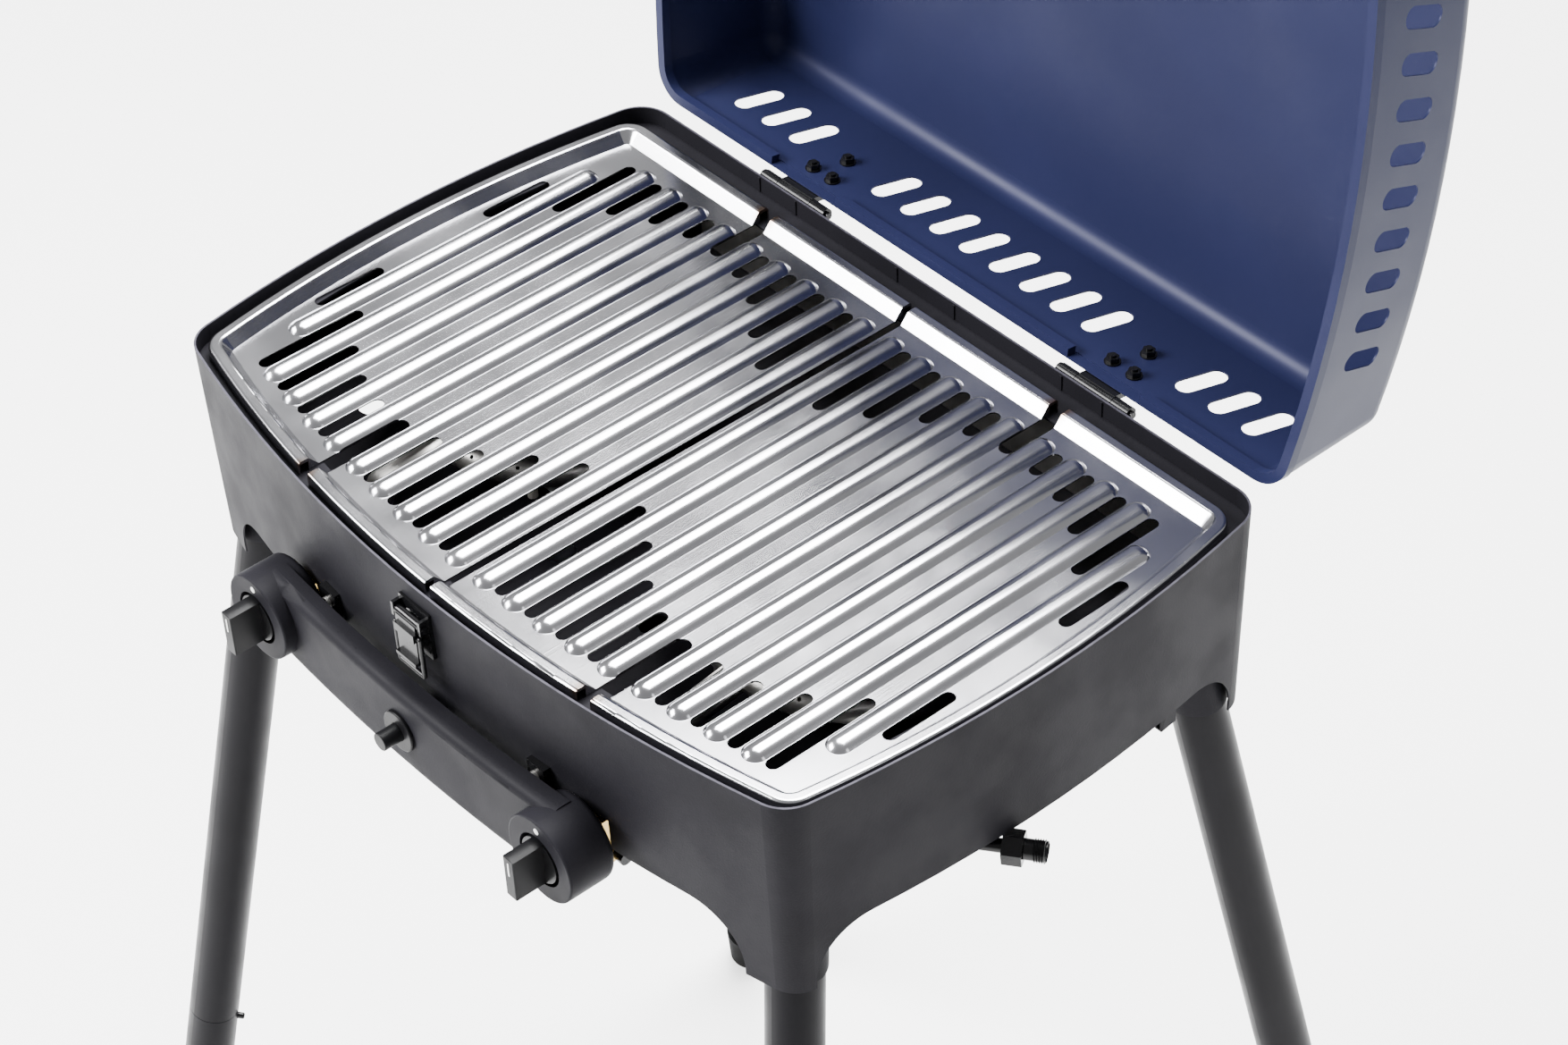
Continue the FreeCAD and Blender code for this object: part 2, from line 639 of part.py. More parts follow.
def panel_brackets():
    """Z-shaped straps between the panel, the bezels and the box wall."""
    parts = []
    room = drafted(0, RIM_Z, BOX_DRAFT, CORNER_BOTTOM)
    for side in (-1, 1):
        x = side * 92.0
        y = PANEL_END_Y + 2.5
        web = box(x - 7, x + 7, y, -150, KNOB_Z + 4, KNOB_Z + 6)
        tab = box(x - 7, x + 7, y, y + 1.5, KNOB_Z - 10, KNOB_Z + 6)
        pad = box(x - 7, x + 7, front_y(x, 0) - 2.5, -150, KNOB_Z + 4, KNOB_Z + 26)
        strap = fused([web, tab, pad]).cut(room)
        parts.append(largest(strap))
    return Part.makeCompound(parts)


def panel_screws():
    parts = []
    for side in (-1, 1):
        x = side * 92.0
        y = front_y(x, 0) - 2.5
        parts.append(rod((x, y - 2.2, KNOB_Z + 18), (x, y - 0.05, KNOB_Z + 18), 3.6))
    return Part.makeCompound(parts)


def knob(x):
    y0 = BEZEL_FACE + RECESS_D - KNOB_PRESS - 0.6
    y_disc = BEZEL_FACE - 0.2
    disc = rod((x, y0, KNOB_Z), (x, y_disc, KNOB_Z), KNOB_R)
    grip = box(x - GRIP_W / 2, x + GRIP_W / 2, BEZEL_FACE - GRIP_OUT, y_disc + 2,
               KNOB_Z - GRIP_H / 2, KNOB_Z + GRIP_H / 2)
    ends = [e for e in grip.Edges if e.BoundBox.YMax < BEZEL_FACE - GRIP_OUT + 0.1]
    grip = grip.makeFillet(0.8, ends)
    guard = rod((x, BEZEL_FACE - 30, KNOB_Z), (x, y_disc + 3, KNOB_Z), GRIP_H / 2)
    solid = fused([disc, grip.common(guard)])
    return solid.cut(rod((x, BEZEL_FACE - 8, KNOB_Z), (x, y0 + 1, KNOB_Z), STEM_R + 0.05))


def valve_stem(x):
    return rod((x, BEZEL_FACE - 4.5, KNOB_Z), (x, BEZEL_FACE + 22, KNOB_Z), STEM_R)


def valve(x):
    y_front = BEZEL_FACE + 13
    nose = rod((x, y_front, KNOB_Z), (x, -196, KNOB_Z), 9)
    block = box(x - 11, x + 11, -200, -186, KNOB_Z - 12, KNOB_Z + 12)
    tail = box(x - 9, x + 9, -186, -171, KNOB_Z - 23, KNOB_Z + 9)
    jet = rod((x, -171, KNOB_Z), (x, -164, KNOB_Z), 4)
    solid = fused([nose, block, tail, jet])
    solid = solid.cut(rod((x, -230, KNOB_Z), (x, BEZEL_FACE + 22.3, KNOB_Z), STEM_R + 0.06))
    return solid.cut(rod((x - 30, MANIFOLD_Y, PIPE_Z), (x + 30, MANIFOLD_Y, PIPE_Z), PIPE_R + 0.02))


def gas_manifold():
    end = KNOB_X + 14
    pipe = tube((-end, MANIFOLD_Y, PIPE_Z), (end, MANIFOLD_Y, PIPE_Z), PIPE_R, PIPE_R - 1)
    caps = [rod((-end - 2, MANIFOLD_Y, PIPE_Z), (-end, MANIFOLD_Y, PIPE_Z), PIPE_R),
            rod((end, MANIFOLD_Y, PIPE_Z), (end + 2, MANIFOLD_Y, PIPE_Z), PIPE_R)]
    return fused([pipe] + caps)


def inlet_dir():
    d = V(INLET_MARK[0] - INLET_START[0], INLET_MARK[1] - INLET_START[1], 0)
    return d.normalize()


def on_inlet(s):
    p = V(INLET_MARK[0], INLET_MARK[1], PIPE_Z) + inlet_dir() * s
    return (p.x, p.y, p.z)


def inlet_pipe():
    start = (INLET_START[0], INLET_START[1], PIPE_Z)
    pipe = tube(start, on_inlet(HEX_SPAN[0]), PIPE_R, PIPE_R - 1)
    return pipe.cut(rod((0, MANIFOLD_Y, PIPE_Z), (130, MANIFOLD_Y, PIPE_Z), PIPE_R + 0.02))


def inlet_nut():
    d = inlet_dir()
    r = HEX_AF / math.sqrt(3)
    start = V(*on_inlet(HEX_SPAN[0]))
    side = V(0, 0, 1)
    pts = []
    for i in range(7):
        a = math.radians(60 * i + 14)
        pts.append(start + side * (r * math.cos(a)) + d.cross(side) * (r * math.sin(a)))
    prism = Part.Face(Part.makePolygon(pts)).extrude(d * (HEX_SPAN[1] - HEX_SPAN[0]))
    cone_r = r * 0.97
    length = HEX_SPAN[1] - HEX_SPAN[0]
    chamfer = Part.makeCone(cone_r, cone_r + length, length, start, d)
    back = Part.makeCone(cone_r + length, cone_r, length, start, d)
    return prism.common(chamfer).common(back).cut(Part.makeCylinder(PIPE_R - 1, length, start, d))


def inlet_nipple():
    """Neck and screwed end; the thread is drawn at its crest diameter."""
    neck = rod(on_inlet(HEX_SPAN[1]), on_inlet(NECK_END), THREAD_CORE_R)
    barrel = rod(on_inlet(NECK_END), on_inlet(THREAD_END), THREAD_R)
    rims = [e for e in barrel.Edges if len(e.Vertexes) == 1]
    barrel = barrel.makeChamfer(0.6, rims)
    return fused([neck, barrel]).cut(rod(on_inlet(HEX_SPAN[1]), on_inlet(THREAD_END + 1), PIPE_R - 1))


def igniter_ring():
    y = PANEL_CROWN
    ring = rod((BUTTON_X, y - 2.2, KNOB_Z), (BUTTON_X, y - 0.05, KNOB_Z), IGN_RING_R)
    ring = ring.makeFillet(1.0, [e for e in ring.Edges if e.BoundBox.YMax < y - 2.1])
    return ring.cut(rod((BUTTON_X, y - 5, KNOB_Z), (BUTTON_X, y + 5, KNOB_Z), IGN_R + 0.3))


def igniter_housing():
    y = PANEL_CROWN
    barrel = rod((BUTTON_X, y - 0.05, KNOB_Z), (BUTTON_X, y + 21, KNOB_Z), 8.6)
    return barrel.cut(rod((BUTTON_X, y - 1, KNOB_Z), (BUTTON_X, y + 19, KNOB_Z), IGN_R + 0.3))


def igniter_button():
    y = PANEL_CROWN
    button = rod((BUTTON_X, y - IGN_OUT, KNOB_Z), (BUTTON_X, y + 9, KNOB_Z), IGN_R)
    return button.makeFillet(0.6, [e for e in button.Edges if e.BoundBox.YMax < y - IGN_OUT + 0.1])


def burner(x):
    ring = Part.makeTorus(BURNER_RX, BURNER_TUBE, V(x, BURNER_Y, BURNER_Z), V(0, 0, 1))
    bore = Part.makeTorus(BURNER_RX, BURNER_TUBE - 1, V(x, BURNER_Y, BURNER_Z), V(0, 0, 1))
    path = mixer_path(x)
    mixer = []
    inner = []
    for a, b in zip(path[:-1], path[1:]):
        mixer.append(rod(a, b, MIXER_R))
        inner.append(rod(a, b, MIXER_R - 1.2))
    for p in path[1:-1]:
        mixer.append(Part.makeSphere(MIXER_R, V(*p)))
        inner.append(Part.makeSphere(MIXER_R - 1.2, V(*p)))
    solid = fused([ring] + mixer)
    return solid.cut(fused([bore] + inner))


def burner_brackets():
    parts = []
    for side in (-1, 1):
        x = side * BURNER_X
        for y in (BURNER_Y + BURNER_RX, BURNER_Y - BURNER_RX + 14):
            y_in = y - 10
            foot = box(x - 30, x - 18, y_in, y_in + 24, FLOOR_Z, FLOOR_Z + 1.5)
            post = box(x - 30, x - 28.5, y_in, y_in + 14, FLOOR_Z, BURNER_Z + 4)
            strap = fused([foot, post])
            ring = Part.makeTorus(BURNER_RX, BURNER_TUBE + 0.05, V(x, BURNER_Y, BURNER_Z), V(0, 0, 1))
            parts.append(largest(strap.cut(ring)))
    return Part.makeCompound(parts)


def electrodes(tip):
    parts = []
    for side in (-1, 1):
        x = side * (BURNER_X - 40)
        y = BURNER_Y - BURNER_RX + 24 + 4.0
        if tip:
            parts.append(rod((x, y, BURNER_Z + 8), (x, y, BURNER_Z + 17), 1.1))
        else:
            parts.append(rod((x, y, FLOOR_Z), (x, y, BURNER_Z + 8), 3.2))
    return Part.makeCompound(parts)


def drip_tray():
    y0, y1 = TRAY_Y
    z0, z1 = TRAY_Z
    outer = box(-TRAY_X, TRAY_X, y0, y1, z0, z1)
    outer = outer.cut(box(-TRAY_X + 1.2, TRAY_X - 1.2, y0 + 1.2, y1 - 1.2, z0 + 1.2, z1 + 1))
    grip = box(-40, 40, y1 - 0.5, y1 + 12, z0 + 3, z0 + 4.5)
    lip = box(-40, 40, y1 + 10.5, y1 + 12, z0 + 3, z1)
    return fused([outer, grip, lip])


def tray_rails():
    parts = []
    for side in (-1, 1):
        x = side * (TRAY_X + 1.8)
        wall = box(min(x, x + side * 1.5), max(x, x + side * 1.5), -110, 150, TRAY_Z[0] - 1.8, FLOOR_Z - 1.5)
        lip_in = x - side * 9
        lip = box(min(lip_in, x), max(lip_in, x), -110, 150, TRAY_Z[0] - 1.8, TRAY_Z[0] - 0.4)
        parts.append(fused([wall, lip]))
    return Part.makeCompound(parts)


def latch_y():
    return front_y(0, box_inset(-20))


def latch_base():
    y = latch_y()
    back = box(-13, 13, y - 2.2, y + 4, -32, -1)
    ears = [box(s * 11.6 - 1, s * 11.6 + 1, y - 8, y - 1, LATCH_PIVOT_Z - 4, LATCH_PIVOT_Z + 5) for s in (-1, 1)]
    solid = fused([back] + ears).cut(drafted(-0.05, RIM_Z, BOX_DRAFT - 0.05, CORNER_BOTTOM))
    return solid.cut(rod((-20, y - 5.5, LATCH_PIVOT_Z), (20, y - 5.5, LATCH_PIVOT_Z), 1.56))


def latch_lever():
    y = latch_y()
    z = LATCH_PIVOT_Z
    barrel = rod((-10.2, y - 5.5, z), (10.2, y - 5.5, z), 2.6)
    axle = rod((-13.5, y - 5.5, z), (13.5, y - 5.5, z), 1.5)
    arm = box(-8.5, 8.5, y - 8.6, y - 6.4, z - 27, z)
    tip = box(-8.5, 8.5, y - 11, y - 6.4, z - 27, z - 25)
    boss = box(-8.5, 8.5, y - 10.2, y - 5.0, z - BAIL_PIVOT - 2.7, z - BAIL_PIVOT + 2.7)
    solid = fused([barrel, axle, arm, tip, boss])
    zb = z - BAIL_PIVOT
    return solid.cut(rod((-20, y - 7.5, zb), (20, y - 7.5, zb), BAIL_R + 0.05))


def latch_bail():
    y = latch_y() - 7.5
    top = LATCH_PIVOT_Z - BAIL_PIVOT
    low = top - BAIL_LENGTH
    legs = [rod((s * 10.8, y, top), (s * 10.8, y, low), BAIL_R) for s in (-1, 1)]
    pivot = rod((-10.8, y, top), (10.8, y, top), BAIL_R)
    bar = rod((-10.8, y, low), (10.8, y, low), BAIL_R)
    corners = [Part.makeSphere(BAIL_R, V(s * 10.8, y, z)) for s in (-1, 1) for z in (top, low)]
    return fused(legs + [pivot, bar] + corners)


def wall_tab():
    """Small bent steel tab under the right wall, by the rear leg."""
    x = 266.0
    strip = box(x - 3.2, x - 2.0, 92, 104, WALL_BOTTOM - 9, WALL_BOTTOM + 16)
    foot = box(x - 12, x - 2.0, 92, 104, WALL_BOTTOM - 10.2, WALL_BOTTOM - 9)
    return fused([strip, foot]).cut(drafted(0, RIM_Z, BOX_DRAFT, CORNER_BOTTOM).cut(cavity()))


LEGS = {"fl": (-1, -1), "fr": (1, -1), "rl": (-1, 1), "rr": (1, 1)}


def build():
    right = grate()
    shapes = {
        "burner_box": burner_box(),
        "heat_shields": heat_shields(),
        "leg_sockets": leg_sockets(),
        "grate_right": right,
        "grate_left": mirrored(right),
        "burner_left": burner(-BURNER_X),
        "burner_right": burner(BURNER_X),
        "burner_brackets": burner_brackets(),
        "electrode_ceramics": electrodes(False),
        "electrode_pins": electrodes(True),
        "drip_tray": drip_tray(),
        "tray_rails": tray_rails(),
        "valve_left": valve(-KNOB_X),
        "valve_right": valve(KNOB_X),
        "stem_left": valve_stem(-KNOB_X),
        "stem_right": valve_stem(KNOB_X),
        "knob_left": knob(-KNOB_X),
        "knob_right": knob(KNOB_X),
        "knob_bezels": bezels(),
        "control_panel": control_panel(),
        "panel_brackets": panel_brackets(),
        "panel_screws": panel_screws(),
        "igniter_ring": igniter_ring(),
        "igniter_housing": igniter_housing(),
        "igniter_button": igniter_button(),
        "gas_manifold": gas_manifold(),
        "inlet_pipe": inlet_pipe(),
        "inlet_nut": inlet_nut(),
        "inlet_nipple": inlet_nipple(),
        "latch_base": latch_base(),
        "latch_lever": latch_lever(),
        "latch_bail": latch_bail(),
        "lid_shell": lid_shell(),
        "lid_handle": lid_handle(),
        "handle_posts": handle_posts(),
        "latch_keeper": latch_keeper(),
        "hinge_body_leaves": hinge_body_leaves(),
        "hinge_lid_leaves": hinge_lid_leaves(),
        "hinge_pins": hinge_pins(),
        "hinge_nuts": hinge_nuts(),
        "wall_tab": wall_tab(),
    }
    for name, (sx, sy) in LEGS.items():
        shapes["leg_upper_" + name] = leg_upper(sx, sy)
        shapes["leg_lower_" + name] = leg_lower(sx, sy)
        shapes["leg_button_" + name] = leg_button(sx, sy)
        shapes["foot_cap_" + name] = foot_cap(sx, sy)
    return shapes


def shift_to_origin(shapes):
    """Move so that the origin is the bottom centre of the whole object."""
    bound = Part.makeCompound(list(shapes.values())).optimalBoundingBox(True, False)
    return V(-(bound.XMin + bound.XMax) / 2, -(bound.YMin + bound.YMax) / 2, -bound.ZMin)


def main():
    os.makedirs("parts", exist_ok=True)
    shapes = build()
    shift = shift_to_origin(shapes)
    for name, shape in shapes.items():
        shape.translate(shift)
        shape.exportStep("parts/" + name + ".step")
    print("shift", shift.x, shift.y, shift.z)


if __name__ == "__main__":
    main()
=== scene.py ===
import json
import math

import bpy
from bpy.props import FloatProperty, FloatVectorProperty, IntProperty, PointerProperty
from bpy.types import Operator, Panel, PropertyGroup
from mathutils import Euler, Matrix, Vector


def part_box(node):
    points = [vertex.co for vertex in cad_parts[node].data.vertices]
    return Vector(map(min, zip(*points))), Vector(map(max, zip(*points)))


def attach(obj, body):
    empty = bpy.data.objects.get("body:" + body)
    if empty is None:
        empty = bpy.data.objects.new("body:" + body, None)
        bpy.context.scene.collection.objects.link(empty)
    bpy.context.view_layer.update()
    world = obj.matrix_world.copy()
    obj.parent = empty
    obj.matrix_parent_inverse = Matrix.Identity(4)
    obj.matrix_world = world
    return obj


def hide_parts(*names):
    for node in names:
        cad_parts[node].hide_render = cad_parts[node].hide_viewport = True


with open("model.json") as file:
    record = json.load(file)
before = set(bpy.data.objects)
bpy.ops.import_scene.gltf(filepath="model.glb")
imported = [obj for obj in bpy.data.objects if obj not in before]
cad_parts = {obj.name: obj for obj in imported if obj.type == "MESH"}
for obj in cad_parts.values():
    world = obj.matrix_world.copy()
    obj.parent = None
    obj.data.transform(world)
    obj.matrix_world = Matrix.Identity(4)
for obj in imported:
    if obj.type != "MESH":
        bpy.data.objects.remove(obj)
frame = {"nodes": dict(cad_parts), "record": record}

bl_info = {
    "name": "Folding Camp Grill",
    "version": (1, 0, 0),
    "blender": (4, 5, 0),
    "location": "3D View > Sidebar > Camp Grill",
    "description": "Finishes and small details for a gas camp grill on plug-in legs",
    "category": "Object",
}

NODES = frame["nodes"]
MOUNTS = {mount["name"]: mount for mount in frame["record"]["mounts"]}
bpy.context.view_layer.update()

LEGS = ("fl", "fr", "rl", "rr")
BOX_PARTS = ("burner_box", "control_panel", "knob_bezels", "leg_sockets", "wall_tab")
DARK_BRACKETS = ("panel_brackets", "latch_base", "latch_lever", "latch_bail", "latch_keeper",
                 "hinge_body_leaves", "hinge_lid_leaves", "hinge_pins", "hinge_nuts")
PLAIN_METAL = ("heat_shields", "burner_brackets", "tray_rails", "panel_screws", "stem_left",
               "stem_right", "electrode_pins")

DOT_ABOVE_KNOB = 0.0205
LINE_ABOVE_KNOB = 0.0062
MARK_SINK = 0.4
BURNER_REACH = 0.093
BURNER_RADIUS = 0.084
BURNER_TUBE = 0.009
DRILL_DEPTH = 0.006
NOTCH_SHARE = 0.4505
NOTCH_FRONT = 0.006
NOTCH_REAR = 0.003
HALO_RADIUS = 0.013


# ---------------------------------------------------------------- settings

def colour(name, description, default):
    """One colour setting."""
    return FloatVectorProperty(name=name, description=description, subtype="COLOR",
                               size=3, min=0.0, max=1.0, default=default)


def length(name, description, default):
    """One length setting, in metres."""
    return FloatProperty(name=name, description=description, subtype="DISTANCE",
                         unit="LENGTH", min=0.0, default=default)


class GrillColours(PropertyGroup):
    """Colours of the grill's finishes."""
    box: colour("Box coating", "Matt powder coat of the burner box and panel",
                (0.0100, 0.0096, 0.0122))
    legs: colour("Leg coating", "Satin powder coat of the legs", (0.0056, 0.0054, 0.0068))
    lid_inside: colour("Lid inside", "Enamel inside the lid", (0.0125, 0.0150, 0.0500))
    # The outside colour is the lid's blue enamel made greyer as a painted sheen.
    lid_outside_sheen: colour("Lid outside", "Enamel outside the lid", (0.0130, 0.0160, 0.0430))
    grate: colour("Grate steel", "Pressed stainless steel of the grates", (0.40, 0.40, 0.42))
    tint: colour("Heat tint", "Straw brown tint at the grate notches", (0.23, 0.12, 0.05))
    fittings: colour("Black fittings", "Blackened steel of latch, hinges and gas inlet",
                     (0.0040, 0.0040, 0.0046))
    steel: colour("Plain steel", "Plain steel of screws, stems and shields", (0.55, 0.54, 0.52))
    tray: colour("Tray aluminium", "Drawn aluminium of the drip tray", (0.70, 0.70, 0.71))
    brass: colour("Valve brass", "Machined brass of the gas valves", (0.62, 0.43, 0.16))
    knob: colour("Knob plastic", "Moulded black plastic of the knobs", (0.0045, 0.0045, 0.0052))
    ceramic: colour("Ceramic", "Unglazed ceramic of the electrodes", (0.78, 0.75, 0.68))
    rubber: colour("Foot rubber", "Moulded rubber of the foot caps", (0.0050, 0.0050, 0.0052))
    marks: colour("Marks", "White paint of the knob marks", (0.86, 0.86, 0.84))


class GrillSizes(PropertyGroup):
    """Sizes of the small details."""
    dot: length("Dot", "Width of the white dot over each knob", 0.0038)
    line_length: length("Line length", "Length of the white line on each grip", 0.0095)
    line_width: length("Line width", "Width of the white line on each grip", 0.0012)
    paint: length("Paint thickness", "How far the white marks stand proud", 0.0002)
    pitch: length("Thread pitch", "Pitch of the gas inlet thread", 0.00134)
    ports: IntProperty(name="Burner ports", description="Ports round each burner ring",
                       min=8, max=72, default=40)
    port: length("Port", "Width of a burner port", 0.0024)


class StudioSettings(PropertyGroup):
    """Floor, lights and camera."""
    floor: colour("Floor", "Colour of the plain pale floor", (0.93, 0.93, 0.93))
    sky: FloatProperty(name="Room light", description="Strength of the light from all round",
                       min=0.0, default=0.55)
    key: FloatProperty(name="Key light", description="Power of the large light over the left",
                       subtype="POWER", unit="POWER", min=0.0, default=620.0)
    top: FloatProperty(name="Top light", description="Power of the large light overhead",
                       subtype="POWER", unit="POWER", min=0.0, default=900.0)
    side: FloatProperty(name="Side light", description="Power of the strip light on the right",
                        subtype="POWER", unit="POWER", min=0.0, default=12.0)
    lens: FloatProperty(name="Lens", description="Focal length on a 36 mm sensor",
                        subtype="DISTANCE_CAMERA", min=1.0, default=89.16)
    place: FloatVectorProperty(name="Camera place", description="Where the camera stands",
                               subtype="TRANSLATION", unit="LENGTH", size=3,
                               default=(1.2943, -1.0026, 2.2335))
    turn: FloatVectorProperty(name="Camera turn", description="Which way the camera points",
                              subtype="EULER", size=3, default=(
                                  math.radians(48.87), math.radians(2.277), math.radians(49.21)))


# ---------------------------------------------------------------- node groups

def new_group(name, inputs, outputs):
    """A shader node group with named sockets, and its input and output nodes."""
    tree = bpy.data.node_groups.new(name, "ShaderNodeTree")
    for label, kind, value in inputs:
        socket = tree.interface.new_socket(name=label, in_out="INPUT", socket_type=kind)
        if value is not None:
            socket.default_value = value
    for label, kind in outputs:
        tree.interface.new_socket(name=label, in_out="OUTPUT", socket_type=kind)
    return tree, tree.nodes.new("NodeGroupInput"), tree.nodes.new("NodeGroupOutput")


def add_node(tree, kind, **settings):
    """A new node with its settings."""
    node = tree.nodes.new(kind)
    for key, value in settings.items():
        setattr(node, key, value)
    return node


def sum_of(tree, operation, first, second, clamp=False):
    """The output of one Math node. Each term is a socket or a number."""
    node = add_node(tree, "ShaderNodeMath", operation=operation, use_clamp=clamp)
    for place, term in enumerate((first, second)):
        if isinstance(term, (int, float)):
            node.inputs[place].default_value = term
        else:
            tree.links.new(term, node.inputs[place])
    return node.outputs[0]


def noise_value(tree, vector, scale, detail=3.0):
    """The value of a noise texture."""
    node = add_node(tree, "ShaderNodeTexNoise")
    node.inputs["Detail"].default_value = detail
    tree.links.new(vector, node.inputs["Vector"])
    if isinstance(scale, (int, float)):
        node.inputs["Scale"].default_value = scale
    else:
        tree.links.new(scale, node.inputs["Scale"])
    return node.outputs["Fac"]


def spread(tree, value, low, high, start, end):
    """A value from low to high, spread smoothly over start to end."""
    node = add_node(tree, "ShaderNodeMapRange", interpolation_type="SMOOTHSTEP")
    for label, term in (("Value", value), ("From Min", low), ("From Max", high),
                        ("To Min", start), ("To Max", end)):
        if isinstance(term, (int, float)):
            node.inputs[label].default_value = term
        else:
            tree.links.new(term, node.inputs[label])
    return node.outputs["Result"]


def blend_colours(tree, share, first, second):
    """The colour between two colours."""
    node = add_node(tree, "ShaderNodeMix", data_type="RGBA")
    tree.links.new(share, node.inputs["Factor"])
    for label, term in (("A", first), ("B", second)):
        socket = [s for s in node.inputs if s.name == label and s.type == "RGBA"][0]
        if isinstance(term, bpy.types.NodeSocket):
            tree.links.new(term, socket)
        else:
            socket.default_value = (*term, 1.0)
    return [s for s in node.outputs if s.type == "RGBA"][0]


def colour_drift_group():
    """Two colours that drift into each other over the surface."""
    tree, start, end = new_group("Colour drift", [
        ("Vector", "NodeSocketVector", None),
        ("Colour", "NodeSocketColor", (0.5, 0.5, 0.5, 1.0)),
        ("Drift", "NodeSocketColor", (0.4, 0.4, 0.4, 1.0)),
        ("Scale", "NodeSocketFloat", 12.0)], [("Colour", "NodeSocketColor")])
    broad = noise_value(tree, start.outputs["Vector"], start.outputs["Scale"], 4.0)
    share = spread(tree, broad, 0.38, 0.68, 0.0, 1.0)
    mixed = blend_colours(tree, share, start.outputs["Colour"], start.outputs["Drift"])
    tree.links.new(mixed, end.inputs["Colour"])
    return tree


def patchy_gloss_group():
    """Roughness that wanders between two values, as on a handled surface."""
    tree, start, end = new_group("Patchy gloss", [
        ("Vector", "NodeSocketVector", None),
        ("Smooth", "NodeSocketFloat", 0.3),
        ("Rough", "NodeSocketFloat", 0.5),
        ("Scale", "NodeSocketFloat", 18.0)], [("Roughness", "NodeSocketFloat")])
    broad = noise_value(tree, start.outputs["Vector"], start.outputs["Scale"], 5.0)
    value = spread(tree, broad, 0.35, 0.68, start.outputs["Smooth"], start.outputs["Rough"])
    tree.links.new(value, end.inputs["Roughness"])
    return tree


def coat_grain_group():
    """The fine pebbling of a sprayed coat or a moulded skin."""
    tree, start, end = new_group("Coat grain", [
        ("Vector", "NodeSocketVector", None),
        ("Scale", "NodeSocketFloat", 900.0)], [("Height", "NodeSocketFloat")])
    fine = noise_value(tree, start.outputs["Vector"], start.outputs["Scale"], 2.0)
    tree.links.new(fine, end.inputs["Height"])
    return tree


def drawn_lines_group():
    """Fine lines left along the sheet by rolling and pressing."""
    tree, start, end = new_group("Drawn lines", [
        ("Vector", "NodeSocketVector", None),
        ("Across", "NodeSocketFloat", 900.0),
        ("Along", "NodeSocketFloat", 14.0)], [("Height", "NodeSocketFloat")])
    apart = add_node(tree, "ShaderNodeSeparateXYZ")
    tree.links.new(start.outputs["Vector"], apart.inputs[0])
    joined = add_node(tree, "ShaderNodeCombineXYZ")
    for axis, size in (("X", "Across"), ("Y", "Along"), ("Z", "Across")):
        term = sum_of(tree, "MULTIPLY", apart.outputs[axis], start.outputs[size])
        tree.links.new(term, joined.inputs[axis])
    lines = noise_value(tree, joined.outputs[0], 1.0, 3.0)
    tree.links.new(lines, end.inputs["Height"])
    return tree


def heat_halo_group():
    """A mask that fades away from one place and its mirror across the middle."""
    tree, start, end = new_group("Heat halo", [
        ("Vector", "NodeSocketVector", None),
        ("Place", "NodeSocketVector", None),
        ("Radius", "NodeSocketFloat", 0.02)], [("Mask", "NodeSocketFloat")])
    mirrored = add_node(tree, "ShaderNodeVectorMath", operation="ABSOLUTE")
    tree.links.new(start.outputs["Vector"], mirrored.inputs[0])
    level = add_node(tree, "ShaderNodeSeparateXYZ")
    tree.links.new(start.outputs["Vector"], level.inputs[0])
    folded = add_node(tree, "ShaderNodeSeparateXYZ")
    tree.links.new(mirrored.outputs[0], folded.inputs[0])
    point = add_node(tree, "ShaderNodeCombineXYZ")
    tree.links.new(folded.outputs["X"], point.inputs["X"])
    tree.links.new(level.outputs["Y"], point.inputs["Y"])
    tree.links.new(level.outputs["Z"], point.inputs["Z"])
    away = add_node(tree, "ShaderNodeVectorMath", operation="DISTANCE")
    tree.links.new(point.outputs[0], away.inputs[0])
    tree.links.new(start.outputs["Place"], away.inputs[1])
    wavering = noise_value(tree, start.outputs["Vector"], 160.0, 3.0)
    reach = sum_of(tree, "MULTIPLY", start.outputs["Radius"],
                   sum_of(tree, "ADD", wavering, 0.5))
    share = sum_of(tree, "DIVIDE", away.outputs["Value"], reach)
    tree.links.new(spread(tree, share, 0.15, 1.0, 1.0, 0.0), end.inputs["Mask"])
    return tree


def painted_edge_highlight_group():
    """A mask for a painted highlight along a rim, above one level."""
    tree, start, end = new_group("Painted edge highlight", [
        ("Vector", "NodeSocketVector", None),
        ("Level", "NodeSocketFloat", 0.9),
        ("Depth", "NodeSocketFloat", 0.001)], [("Mask", "NodeSocketFloat")])
    apart = add_node(tree, "ShaderNodeSeparateXYZ")
    tree.links.new(start.outputs["Vector"], apart.inputs[0])
    # Noise makes the lower edge of the painted highlight band waver.
    edge_jitter = noise_value(tree, start.outputs["Vector"], 240.0, 4.0)
    lowered = sum_of(tree, "SUBTRACT", start.outputs["Level"],
                     sum_of(tree, "MULTIPLY", start.outputs["Depth"], edge_jitter))
    above = sum_of(tree, "SUBTRACT", apart.outputs["Z"], lowered)
    share = sum_of(tree, "DIVIDE", above, start.outputs["Depth"], clamp=True)
    tree.links.new(share, end.inputs["Mask"])
    return tree


